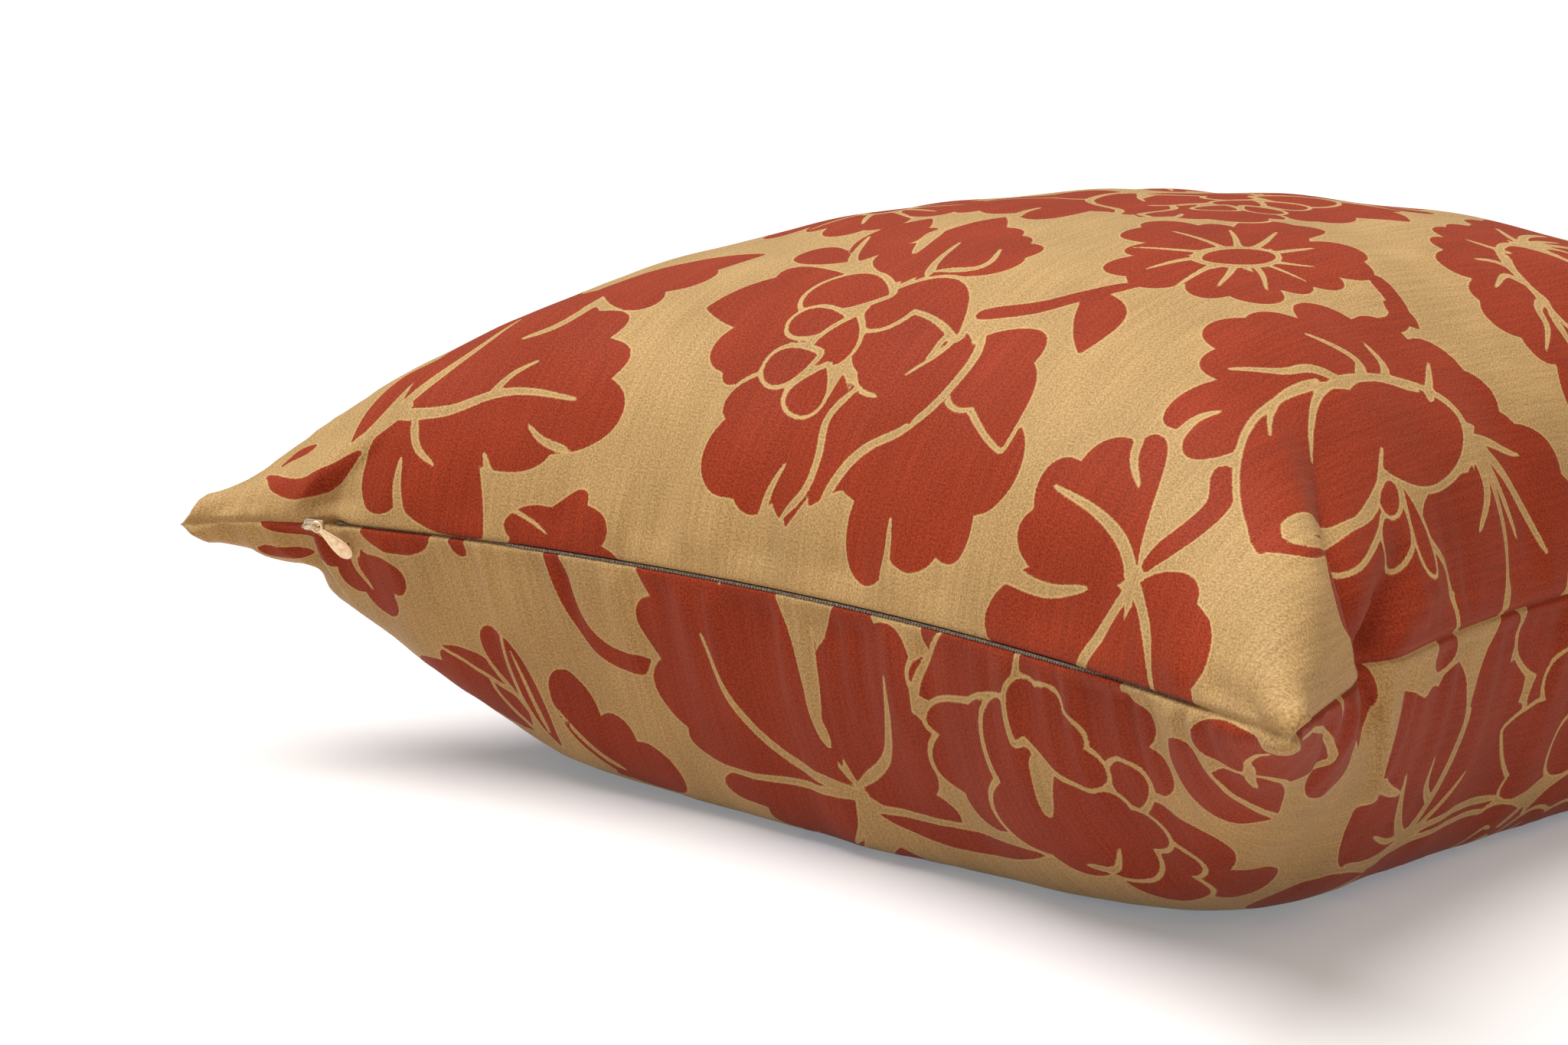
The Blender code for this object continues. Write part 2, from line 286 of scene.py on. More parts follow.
# Creases and soft rolls, placed in the flat cloth. A negative depth is a ridge.
# panel, depth, half width on its left and on its right, then u, v and share of the depth
# at each point, all in mm
CREASES = (
    (FRONT, 3.4, 11, 11, (-216, -216, 0), (-208, -210, 0.7), (-197, -205, 1), (-187, -199, 0.9),
     (-175, -187, 0.5), (-160, -172, 0)),
    (FRONT, 3.2, 36, 36, (-122, -128, 0), (-95, -114, 0.8), (-72, -98, 1), (-50, -82, 0.8), (-20, -60, 0)),
    (FRONT, -2.6, 7, 1.6, (-179, -225, 1), (-176, -218, 1), (-173, -213, 1), (-168, -209, 0.9),
     (-160, -203, 0.5), (-150, -195, 0)),
    (FRONT, 2.6, 3.2, 14, (-173, -225, 1), (-170, -217, 1), (-167, -211, 1), (-162, -206, 0.7),
     (-153, -199, 0.3), (-143, -189, 0)),
    (FRONT, -4.2, 11, 12, (150, -130, 0), (166, -147, 0.5), (185, -168, 1), (202, -191, 1),
     (213, -208, 0.6), (219, -218, 0.2)),
    (FRONT, -1.2, 1.2, 7, (160, -126, 0), (170, -138, 0.5), (184, -150, 1), (200, -159, 1),
     (213, -159, 1), (225, -153, 1)),
    (FRONT, 6.0, 8, 7, (158, -122, 0), (169, -136, 0.3), (184, -149, 0.7), (201, -156, 1),
     (214, -155, 1), (225, -149, 1)),
    (FRONT, 7.5, 7, 6, (196, -110, 0), (204, -120, 0.5), (212, -130, 1), (225, -139, 1)),
    (FRONT, -2.2, 7, 9, (200, -88, 0), (210, -100, 0.8), (218, -112, 1), (225, -118, 1)),
    (FRONT, 2.2, 5, 4, (180, -218, 0), (194, -220, 1), (206, -221, 1), (216, -222, 0)),
    (BACK, -0.8, 12, 12, (-220, -219, 0.4), (-205, -213, 1), (-195, -211, 0.5), (-190, -210, 0)),
    (BACK, 3.6, 8, 5, (-184, -216, 0.3), (-187, -206, 0.9), (-191, -199, 1), (-198, -192, 1),
     (-207, -187, 0.8), (-219, -184, 0.2)),
    (BACK, -0.9, 20, 20, (-186, -208, 0), (-174, -192, 0.5), (-160, -174, 1), (-148, -160, 0.9),
     (-130, -142, 0)),
    (BACK, 4.2, 9, 3, (-176, -225, 0.6), (-181, -215, 1), (-182, -205, 1), (-180, -192, 0)),
    (BACK, 2.3, 22, 22, (28, -152, 0), (60, -151, 0.9), (90, -149, 1), (115, -145, 0.8), (142, -134, 0)),
    (BACK, 3.6, 10, 2.0, (225, -143, 1), (212, -134, 1), (196, -122, 0.7), (180, -112, 0)),
    (BACK, -1.2, 2.0, 14, (225, -143, 1), (212, -134, 1), (196, -122, 0.7), (180, -112, 0)),
    (BACK, -1.8, 5, 5, (225, -166, 1), (212, -164, 1), (198, -160, 0.5), (182, -154, 0)),
    (BACK, 1.6, 3, 3, (222, -186, 1), (212, -178, 1), (200, -172, 0.6), (188, -168, 0)),
    (BACK, 1.4, 2.5, 2.5, (210, -225, 1), (212, -216, 1), (212, -206, 0)),
)

# Where a seam is drawn in: its side as axis and sign, place along it, half widths before
# and after that place, depth, and reach on the front and on the back, all in mm. The power
# says how squarely a reach ends.
PINCH_POWER = 1.5
PINCHES = (
    (0, 1, -141.0, 11.0, 11.0, 7.5, 15.0, 15.0),
    (1, -1, -169.0, 3.0, 12.0, 2.2, 12.0, 10.0),
)

# Tips of the corners, in mm: how far back a tip is rounded and over what distance, and how
# far inside the seams, how much and how widely the stuffing rounds it out
TIP_BACK = 1.3
TIP_ROUNDING = 3.0
TIP_INSET = 6.0
TIP_BULGE = 1.9
TIP_SPREAD = 7.5

# Puckers along the seams: wave length, depth and reach in mm, and the share of the depth that
# each panel has. Their phase moves on from side to side, from wave to wave and from panel to
# panel. They swell along the seam: least share, range, wave length and phase of the swell.
PUCKERS = (
    (6.5, 0.24, 10.0), (9.2, 0.75, 26.0), (13.4, 0.80, 34.0), (23.0, 0.60, 44.0), (39.0, 0.60, 74.0),
)
PUCKER_SHARE = {FRONT: 0.5, BACK: 1.0}
PUCKER_PHASES = (2.4, 1.7, 0.9)
PUCKER_SWELL = (0.6, 0.4, 2.3, 1.9)

# Slow waves in the stuffed cloth: wave length in mm, direction in degrees, depth in mm, and
# how far the phase moves on from one to the next
RIPPLES = ((58.0, 20.0, 0.32), (74.0, 105.0, 0.36), (46.0, 70.0, 0.26), (95.0, -30.0, 0.42))
RIPPLE_PHASE = 1.3

# Seam sunk between the panels, in mm: how deep and how wide a sewn seam is, a closed zip, and
# a zip whose teeth show, how it fades out at the corners, where the teeth show, and the hole
# in which the slider sits
SEAM_SINK = 1.2
SEAM_SINK_WIDTH = 1.0
SEAM_CORNER_FADE = 6.0
ZIP_SINK = 2.3
ZIP_CLOSED_WIDTH = 0.50
ZIP_OPEN_WIDTH = 0.58
TEETH_FROM = -105.0
TEETH_TO = 145.0
TEETH_FADE = 14.0
SLIDER_U = -167.0
SLIDER_HOLE = 4.5
HOLE_WIDER = 0.9
HOLE_DEEPER = 1.2


def share_along(u, v, start, run):
    """Return where along a straight run its nearest place to each point lies, from 0 to 1."""
    return np.clip(((u - start[0]) * run[0] + (v - start[1]) * run[1]) / (run @ run), 0.0, 1.0)


def crease_depth(panel, u, v):
    """Return how far the creases press the cloth in, in mm."""
    depth = np.zeros(np.shape(u))
    for crease_panel, deep, left, right, *knots in CREASES:
        if crease_panel != panel:
            continue
        line = smooth_line([knot[:2] for knot in knots])
        ends = np.linspace(0.0, 1.0, len(knots))
        shares = np.interp(np.linspace(0.0, 1.0, len(line)), ends, [knot[2] for knot in knots])
        nearest = np.full(np.shape(u), np.inf)
        press = np.zeros(np.shape(u))
        for start, end, first, last in zip(line, line[1:], shares, shares[1:]):
            run = end - start
            share = share_along(u, v, start, run)
            off_u = u - start[0] - share * run[0]
            off_v = v - start[1] - share * run[1]
            distance = np.hypot(off_u, off_v)
            width = np.where(run[0] * off_v > run[1] * off_u, left, right)
            here = (first + (last - first) * share) * np.exp(-(distance / width) ** 2)
            press = np.where(distance < nearest, here, press)
            nearest = np.minimum(nearest, distance)
        depth += deep * press
    return depth


def pucker_depth(panel, u, v):
    """Return how far the puckers along the seams press the cloth in, in mm."""
    depth = np.zeros(np.shape(u))
    by_side, by_wave, by_panel = PUCKER_PHASES
    least, more, longer, shifted = PUCKER_SWELL
    sides = ((u, HALF_CLOTH + v), (u, HALF_CLOTH - v), (v, HALF_CLOTH + u), (v, HALF_CLOTH - u))
    for side, (along, away) in enumerate(sides):
        for number, (length, deep, reach) in enumerate(PUCKERS):
            phase = by_side * side + by_wave * number + by_panel * PANELS.index(panel)
            swell = least + more * np.cos(along / (longer * length) + shifted * phase)
            wave = np.cos(2.0 * math.pi * along / length + phase)
            depth += deep * swell * wave * np.exp(-away / reach)
    return depth * PUCKER_SHARE[panel]


def ripple_depth(u, v):
    """Return how far the slow waves press the cloth in, in mm."""
    depth = np.zeros(np.shape(u))
    for number, (length, degrees, deep) in enumerate(RIPPLES):
        turn = math.radians(degrees)
        along = u * math.cos(turn) + v * math.sin(turn)
        depth += deep * np.cos(2.0 * math.pi * along / length + RIPPLE_PHASE * number)
    return depth


def tip_fullness(u, v):
    """Return how far the stuffing rounds out the four tips, in mm."""
    in_u = HALF_CLOTH - np.abs(u) - TIP_INSET
    in_v = HALF_CLOTH - np.abs(v) - TIP_INSET
    return TIP_BULGE * np.exp(-(in_u ** 2 + in_v ** 2) / TIP_SPREAD ** 2)


def pinch_shift(panel, u, v):
    """Return the shift that rounds the tips and draws the seams in at a few places."""
    shift = np.zeros(np.shape(u) + (3,))
    near_tip = np.exp(-(2.0 * HALF_CLOTH - np.abs(u) - np.abs(v)) / TIP_ROUNDING)
    for axis, place in enumerate((u, v)):
        shift[..., axis] -= np.sign(place) * TIP_BACK * near_tip * MM
    for axis, sign, place, before, after, deep, front_reach, back_reach in PINCHES:
        along = v if axis == 0 else u
        away = HALF_CLOTH - sign * (u if axis == 0 else v)
        width = np.where(along < place, before, after)
        reach = front_reach if panel == FRONT else back_reach
        share = np.exp(-((along - place) / width) ** 2 - (away / reach) ** PINCH_POWER)
        shift[..., axis] -= sign * deep * share * MM
    return shift


def teeth_share(u):
    """Return 1 where the closed teeth of the zip show and 0 where its lips close."""
    return share_between(u, TEETH_FROM, TEETH_TO, TEETH_FADE)


def seam_pull(u, v, p):
    """Return the shift that draws the cloth in along its sewn edges."""
    shift = np.zeros(np.shape(u) + (3,))
    for along, place, axis, sign in ((u, v, 1, -1), (u, v, 1, 1), (v, u, 0, -1), (v, u, 0, 1)):
        away = HALF_CLOTH - sign * place
        corner = 1 - np.exp(-(HALF_CLOTH - np.abs(along)) / SEAM_CORNER_FADE)
        sink = SEAM_SINK * np.exp(-(away / SEAM_SINK_WIDTH) ** 2)
        if axis == 1 and sign == -1:
            zipped = share_between(p, ZIP_FROM, ZIP_TO, GROOVE_FADE)
            hole = np.exp(-((u - SLIDER_U) / SLIDER_HOLE) ** 2)
            width = ZIP_CLOSED_WIDTH + (ZIP_OPEN_WIDTH - ZIP_CLOSED_WIDTH) * teeth_share(u)
            width = width + HOLE_WIDER * hole
            groove = (ZIP_SINK + HOLE_DEEPER * hole) * np.exp(-(away / width) ** 2)
            sink = sink * (1 - zipped) + zipped * groove
        shift[..., axis] -= sign * sink * corner * MM
    return shift


def surface(panel, u, v):
    """Return places on a panel's outside, with its folds."""
    p, q = form_places(panel, u, v)
    places = smooth_form(panel, p, q)
    fade_p = np.minimum(1.0, (1.0 - np.abs(p)) / FOLD_FADE)
    fade_q = np.minimum(1.0, (1.0 - np.abs(q)) / FOLD_FADE)
    waves = crease_depth(panel, u, v) + pucker_depth(panel, u, v) + ripple_depth(u, v)
    waves = waves - tip_fullness(u, v)
    press = fade_p * fade_q * (fold_depth(panel, p, q) + gather_depth(p, q) + waves * MM)
    places = places - outward(panel, p, q) * press[..., None]
    places = places + seam_pull(u, v, p) + pinch_shift(panel, u, v)
    if panel == BACK:
        places[..., 2] = rest_on_floor(places[..., 2])
    return places


# Raster that the pattern is worked out on, and how far from an edge it is measured, in mm
RASTER = 0.5
FAR = 5.0
RASTER_SIDE = int(2 * HALF_CLOTH / RASTER) + 1
RASTER_AXIS = np.linspace(-HALF_CLOTH, HALF_CLOTH, RASTER_SIDE)

# Kinds of petal: how narrow its base is and how pointed its tip is
PETAL_KINDS = {"lobe": (0.50, 0.0), "point": (0.40, 0.45), "oval": (0.10, 0.0)}
PETAL_POINTS = 96

# The gold line round a figure, as a share of its width: at the base and at the tip of a petal
LINE_AT_BASE = 1.20
LINE_AT_TIP = 0.75

# Step along a smooth curve, as a share of the way from one of its places to the next
CURVE_STEP = 0.2

# Kinds of stroke: whether it is red, and its width along its run as a share of its widest
STROKES = {
    "vein": (False, lambda t: np.minimum(0.40 + 4.0 * t, 0.28 + 0.72 * (1.0 - t) ** 0.65)),
    "line": (False, lambda t: np.minimum(1.0, 0.5 + 4.0 * np.minimum(t, 1.0 - t))),
    "stem": (True, lambda t: np.minimum(1.0, np.minimum(0.8 + 3.0 * t, 3.6 - 3.0 * t))),
    "curl": (True, lambda t: np.sin(math.pi * (0.06 + 0.88 * t)) ** 0.8),
}


def petal_outline(kind, base, tip, width, bow):
    """Return a petal's outline, narrow at its base and bowed by a share of its length."""
    waist, point = PETAL_KINDS[kind]
    ease = 0.01
    turn = np.linspace(-math.pi, math.pi, PETAL_POINTS + 1)[:-1]
    along = 0.5 + 0.5 * np.cos(turn)
    across = np.sin(turn) * (along + ease) ** waist * (1.0 + ease - along) ** point
    across = across * 0.5 / np.abs(across).max()
    run = np.array(tip, dtype=float) - np.array(base, dtype=float)
    length = np.hypot(*run)
    ahead = run / length
    side = np.array([-ahead[1], ahead[0]])
    aside = across * width + bow * 4.0 * along * (1.0 - along) * length
    return np.array(base) + (along * length)[:, None] * ahead + aside[:, None] * side


def smooth_line(points):
    """Return points along a smooth curve through a few places."""
    knots = np.array(points, dtype=float)
    padded = np.concatenate([2 * knots[:1] - knots[1:2], knots, 2 * knots[-1:] - knots[-2:-1]])
    curve = []
    for a, b, c, d in zip(padded, padded[1:], padded[2:], padded[3:]):
        bend = 2 * a - 5 * b + 4 * c - d
        twist = 3 * b - a - 3 * c + d
        for t in np.arange(0.0, 1.0, CURVE_STEP):
            curve.append(0.5 * (2 * b + (c - a) * t + bend * t * t + twist * t ** 3))
    curve.append(knots[-1])
    return np.array(curve)


def raster_window(points):
    """Return the part of the raster round some points, and its u and v."""
    low = np.floor((points.min(axis=0) - FAR + HALF_CLOTH) / RASTER).astype(int)
    high = np.ceil((points.max(axis=0) + FAR + HALF_CLOTH) / RASTER).astype(int) + 1
    low = np.clip(low, 0, RASTER_SIDE)
    high = np.clip(high, 0, RASTER_SIDE)
    spot = (slice(low[0], high[0]), slice(low[1], high[1]))
    return spot, RASTER_AXIS[spot[0]][:, None], RASTER_AXIS[spot[1]][None, :]


class Pattern:
    """Distance in mm to the edge of the red figures on one panel, positive inside them."""

    def __init__(self):
        self.ink = np.full((RASTER_SIDE, RASTER_SIDE), -FAR)
        self.scratch = np.empty((RASTER_SIDE, RASTER_SIDE))

    def inside_distance(self, points):
        """Return the signed distance to a closed outline, positive inside."""
        spot, u, v = raster_window(points)
        self.scratch[spot] = FAR
        inside = np.zeros((u.size, v.size), dtype=bool)
        for start, end in zip(points, np.roll(points, -1, axis=0)):
            near, near_u, near_v = raster_window(np.stack([start, end]))
            reach = distance_to_line(near_u, near_v, start, end)
            self.scratch[near] = np.minimum(self.scratch[near], reach)
            if start[1] != end[1]:
                rows = np.nonzero((v[0] > start[1]) != (v[0] > end[1]))[0]
                if len(rows):
                    part = slice(rows[0], rows[-1] + 1)
                    slope = (end[0] - start[0]) / (end[1] - start[1])
                    inside[:, part] ^= u < start[0] + (v[:, part] - start[1]) * slope
        distance = self.scratch[spot]
        return spot, np.where(inside, distance, -distance)

    def line_distance(self, points, width, shape):
        """Return the signed distance to a stroke, positive inside it."""
        curve = smooth_line(points)
        spot, u, v = raster_window(curve)
        self.scratch[spot] = -FAR
        reach = 0.5 * width * shape(np.linspace(0.0, 1.0, len(curve)))
        for number in range(len(curve) - 1):
            start = curve[number]
            run = curve[number + 1] - start
            near, near_u, near_v = raster_window(curve[number:number + 2])
            share = share_along(near_u, near_v, start, run)
            away = np.hypot(near_u - start[0] - share * run[0], near_v - start[1] - share * run[1])
            here = reach[number] + (reach[number + 1] - reach[number]) * share - away
            self.scratch[near] = np.maximum(self.scratch[near], here)
        return spot, self.scratch[spot].copy()

    def add_petals(self, gap, petals):
        """Weave petals in red as one figure, with a gold line round it where gap isn't 0."""
        figures = [self.inside_distance(petal_outline(*petal)) for petal in petals]
        if gap:
            for (spot, distance), (_, base, tip, _, _) in zip(figures, petals):
                run = np.subtract(tip, base)
                along = (RASTER_AXIS[spot[0]][:, None] - base[0]) * run[0]
                along = along + (RASTER_AXIS[spot[1]][None, :] - base[1]) * run[1]
                share = np.clip(along / (run @ run), 0.0, 1.0)
                line = gap * (LINE_AT_BASE + (LINE_AT_TIP - LINE_AT_BASE) * share)
                self.ink[spot] = np.minimum(self.ink[spot], -(distance + line))
        for spot, distance in figures:
            self.ink[spot] = np.maximum(self.ink[spot], distance)

    def add_stroke(self, kind, width, points):
        """Weave a stroke, gold over the red or red over the gold."""
        is_red, shape = STROKES[kind]
        spot, distance = self.line_distance(points, width, shape)
        if is_red:
            self.ink[spot] = np.maximum(self.ink[spot], distance)
        else:
            self.ink[spot] = np.minimum(self.ink[spot], -distance)

    def add_motif(self, rows, centre=(0.0, 0.0), at=(0.0, 0.0), turn=0.0, size=1.0, flip=1):
        """Weave the rows of a motif, moved from its own centre to another place."""
        angle = math.radians(turn)

        def moved(u, v):
            x = (u - centre[0]) * size * flip
            y = (v - centre[1]) * size
            return (
                at[0] + x * math.cos(angle) - y * math.sin(angle),
                at[1] + x * math.sin(angle) + y * math.cos(angle),
            )

        def placed(base_u, base_v, tip_u, tip_v, width, kind="lobe", bow=0.0):
            return kind, moved(base_u, base_v), moved(tip_u, tip_v), width * size, bow * flip

        for name, width, *items in rows:
            if name in STROKES:
                self.add_stroke(name, width * size, [moved(*place) for place in items])
            else:
                self.add_petals(width, [placed(*petal) for petal in items])


# Motifs, in places of the flat cloth in mm. A figure: "petals", the width of the gold line
# round it, then for each petal its base u and v, tip u and v and width, its kind where it
# isn't a lobe or has a bow, and the bow. A stroke: its kind, width and places.
PEONY = (
    ("petals", 0, (-26, -108, -33, -68, 21, "point", 0.04), (-25, -104, -21, -79, 12),
     (-29, -108, -52, -104, 15)),
    ("vein", 4.0, (-17, -116), (-28, -108), (-34, -100), (-40, -88)),
    ("petals", 0, (-1, -124, -7, -63, 25, "point", -0.03), (4, -122, 6, -73, 22), (8, -120, 17, -80, 20),
     (12, -118, 29, -87, 19), (14, -117, 33, -99, 17), (-3, -118, -18, -94, 18)),
    ("vein", 7.0, (-17, -82), (-13, -92), (-9, -101)),
    ("vein", 3.8, (11, -117), (6, -108), (1, -92)),
    ("vein", 3.4, (12, -114), (23, -111), (25, -105), (20, -95)),
    ("petals", 2.0, (-4, -130, -58, -141, 30, "point", -0.04), (-6, -124, -46, -119, 15, "lobe", 0.05),
     (-10, -138, -42, -160, 20), (-10, -142, -32, -167, 15), (-10, -144, -22, -165, 12)),
    ("petals", 2.0, (2, -160, -25, -177, 15), (2, -162, -20, -200, 25), (3, -163, -5, -205, 19),
     (8, -163, 11, -205, 17), (12, -160, 23, -190, 14)),
    ("vein", 3.4, (1, -208), (2, -198), (5, -189)),
    ("petals", 2.2, (56, -158, 31, -194, 25), (53, -160, 45, -218, 24), (56, -160, 65, -212, 24),
     (58, -160, 80, -207, 21), (58, -160, 94, -189, 26), (58, -158, 82, -172, 17)),
    ("vein", 4.0, (54, -216), (55, -208), (53, -199)),
    ("petals", 2.4, (50, -143, 86, -175, 20, "point", 0.1), (50, -140, 75, -146, 18, "lobe", 0.06),
     (50, -144, 66, -163, 15)),
    ("petals", 0, (20, -200, 42, -138, 36, "lobe", -0.04), (34, -160, 12, -207, 13, "point", -0.06)),
    ("line", 3.2, (48, -134), (54, -148), (52, -164), (44, -174), (33, -181), (27, -192), (23, -208)),
    ("line", 2.8, (21, -163), (15, -174), (18, -186), (17, -196), (9, -205)),
    ("petals", 2.2, (38, -133, 12, -155, 24, "lobe", 0.05), (34, -132, 23, -164, 20)),
    ("petals", 0, (46, -172, 28, -152, 17)),
    ("vein", 3.0, (38, -130), (42, -140), (40, -149), (34, -157)),
    ("petals", 2.2, (42, -141, 2, -131, 17, "lobe", -0.24), (18, -120, 8, -143, 17)),
    ("petals", 2.2, (5, -128, -25, -130, 22, "lobe", -0.06)),
    ("petals", 1.9, (0, -141, -21, -144, 12)),
    ("petals", 1.9, (1, -139, 2, -158, 17)),
    ("petals", 1.9, (-3, -154, -18, -163, 13)),
    ("petals", 1.9, (3, -158, 1, -174, 15)),
)
PEONY_CENTRE = (20, -140)
BUD_STEM = (
    ("stem", 5.6, (44, -131), (60, -125), (71, -115), (79, -103)),
    ("petals", 0, (70, -112, 88, -140, 15, "point", 0.12), (72, -116, 83, -124, 9)),
)
BLOSSOM = (
    ("petals", 0, (81, -56, 61, -16, 19), (82, -56, 71, -11, 15), (83, -50, 78, -28, 12),
     (86, -56, 98, -22, 18), (88, -56, 109, -31, 19), (90, -62, 113, -50, 14), (90, -66, 112, -66, 15),
     (88, -70, 112, -88, 18), (88, -70, 98, -98, 15), (82, -72, 64, -100, 17), (83, -72, 78, -104, 17),
     (79, -64, 58, -84, 13), (78, -64, 44, -67, 18), (78, -62, 41, -52, 17), (78, -60, 56, -40, 13)),
    ("vein", 2.8, (83, -62), (79, -46), (73, -32)),
    ("vein", 2.8, (83, -62), (88, -44), (90, -36)),
    ("vein", 2.4, (83, -62), (94, -54), (100, -48)),
    ("vein", 2.4, (83, -62), (94, -60), (106, -59)),
    ("vein", 2.8, (83, -62), (95, -67), (106, -78)),
    ("vein", 2.8, (83, -62), (91, -76), (96, -88)),
    ("vein", 2.8, (83, -62), (85, -80), (88, -98)),
    ("vein", 2.8, (83, -62), (76, -80), (73, -92)),
    ("vein", 2.6, (83, -62), (71, -73), (58, -80)),
    ("vein", 2.8, (83, -62), (70, -60), (56, -60)),
    ("vein", 2.6, (83, -62), (72, -50), (64, -43)),
    ("petals", 2.6, (80, -75, 87, -51, 13, "oval")),
)
BLOSSOM_CENTRE = (83, -62)
SIDE_PEONY = (
    ("petals", 0, (178, -58, 174, -29, 17), (178, -58, 189, -17, 25), (180, -58, 212, -12, 30),
     (182, -58, 232, -30, 34), (182, -60, 234, -60, 30), (182, -62, 230, -78, 24),
     (184, -64, 208, -98, 27)),
    ("vein", 4.4, (176, -60), (176, -48), (182, -33)),
    ("vein", 5.0, (172, -60), (186, -44), (211, -31)),
    ("vein", 3.6, (180, -53), (192, -48), (205, -44)),
    ("vein", 4.6, (176, -58), (190, -58), (200, -67)),
    ("line", 3.8, (172, -57), (190, -53), (208, -52), (232, -60)),
    ("petals", 2.4, (194, -104, 234, -98, 26), (194, -108, 236, -128, 30), (192, -114, 224, -158, 34),
     (190, -118, 206, -170, 26)),
    ("vein", 3.4, (188, -152), (197, -156), (204, -164)),
    ("petals", 2.2, (184, -110, 193, -153, 17, "lobe", -0.06)),
    ("petals", 2.0, (188, -104, 199, -122, 13)),
    ("petals", 1.8, (183, -102, 207, -101, 7)),
    ("petals", 1.8, (181, -105, 187, -116, 8, "oval")),
    ("petals", 0, (166, -62, 160, -31, 20), (164, -64, 143, -39, 22), (160, -68, 127, -56, 20),
     (158, -72, 116, -76, 23), (156, -78, 124, -88, 14), (156, -84, 115, -99, 20),
     (154, -90, 112, -115, 24), (154, -92, 124, -131, 22), (152, -104, 132, -156, 18),
     (154, -108, 145, -163, 18)),
    ("petals", 2.4, (168, -57, 167, -110, 34, "oval"), (158, -86, 183, -182, 36, "point", -0.03)),
    ("vein", 8.0, (184, -173), (183, -163), (185, -151), (188, -140)),
    ("vein", 4.2, (186, -152), (187, -138), (185, -120), (171, -102)),
    ("curl", 3.8, (172, -171), (181, -179), (189, -174), (191, -163)),
    ("line", 3.2, (157, -66), (151, -77), (149, -90), (148, -102)),
    ("vein", 3.2, (148, -100), (151, -112), (158, -123), (167, -133)),
    ("vein", 3.0, (146, -106), (146, -122), (150, -133), (156, -142)),
    ("vein", 3.8, (161, -64), (156, -59), (149, -51)),
    ("vein", 3.8, (152, -77), (146, -71), (137, -70)),
    ("vein", 4.2, (149, -88), (143, -82), (130, -91)),
    ("vein", 4.4, (149, -97), (142, -104), (139, -114), (130, -126)),
    ("vein", 4.0, (138, -160), (138, -151), (141, -144)),
)
SIDE_PEONY_CENTRE = (170, -90)
STEM_LEAF = (
    ("stem", 7.0, (113, -34), (126, -39), (132, -47), (132, -55)),
    ("petals", 0, (122, -42, 136, -40, 9, "point")),
)
TRIPLE_LEAF = (
    ("petals", 0, (150, -198, 106, -177, 21, "lobe", 0.08), (150, -198, 118, -166, 22),
     (151, -197, 131, -160, 15, "lobe", 0.07), (148, -200, 104, -194, 18), (147, -201, 112, -203, 12),
     (149, -203, 97, -222, 22), (149, -203, 104, -211, 14), (150, -204, 112, -236, 24),
     (150, -205, 134, -238, 22), (153, -200, 177, -204, 14, "lobe", 0.05), (153, -202, 187, -216, 20),
     (153, -204, 180, -232, 22), (153, -206, 162, -238, 20)),
    ("vein", 4.6, (153, -202), (143, -192), (130, -186), (111, -182)),
    ("vein", 4.4, (150, -199), (161, -210), (167, -226)),
    ("line", 3.6, (152, -200), (144, -212), (133, -229)),
    ("vein", 5.6, (96, -205), (117, -208), (134, -205)),
    ("vein", 3.6, (127, -160), (131, -169), (138, -176)),
    ("stem", 6.6, (157, -163), (163, -173), (161, -184), (154, -195)),
)
TRIPLE_LEAF_CENTRE = (151, -199)
FAN_LEAF = (
    ("petals", 0, (-150, -188, -138, -138, 18), (-150, -188, -124, -128, 24),
     (-148, -187, -108, -132, 22), (-148, -187, -98, -146, 18), (-148, -187, -83, -149, 22),
     (-148, -187, -72, -163, 22), (-148, -188, -64, -181, 28), (-148, -188, -86, -196, 20),
     (-150, -189, -106, -224, 30, "point"), (-151, -190, -124, -217, 18), (-153, -190, -145, -220, 19)),
    ("petals", 0, (-149, -163, -164, -200, 11, "point", -0.08)),
    ("vein", 4.4, (-102, -140), (-107, -153), (-119, -159)),
    ("vein", 5.0, (-92, -214), (-104, -208), (-111, -199)),
    ("vein", 3.2, (-80, -195), (-90, -193), (-97, -189)),
    ("vein", 4.4, (-137, -224), (-141, -212), (-142, -203)),
    ("line", 4.8, (-164, -202), (-156, -194), (-146, -186)),
    ("vein", 4.6, (-153, -190), (-131, -187), (-112, -179), (-84, -179)),
    ("vein", 3.2, (-118, -182), (-113, -173), (-105, -168)),
    ("vein", 4.6, (-152, -190), (-142, -174), (-136, -160), (-134, -146)),
    ("vein", 3.6, (-142, -190), (-137, -199), (-129, -204)),
)
FAN_LEAF_CENTRE = (-120, -178)
CURL = (
    ("curl", 7.0, (-197, -208), (-188, -213), (-177, -214), (-168, -209), (-160, -202)),
    ("petals", 0, (-196, -203, -184, -196, 5, "oval")),
)
SEAM_LEAF = (
    ("petals", 0, (-98, -219, -74, -219, 14, "oval"), (-86, -217, -67, -207, 9, "lobe", -0.08),
     (-92, -220, -57, -216, 14), (-98, -226, -52, -226, 13, "oval")),
    ("vein", 2.0, (-99, -213), (-90, -216), (-81, -220)),
)
TIP_LEAF = (
    ("petals", 0, (-114, -131, -68, -104, 22, "point"), (-112, -131, -72, -122, 16),
     (-110, -132, -80, -140, 14)),
)
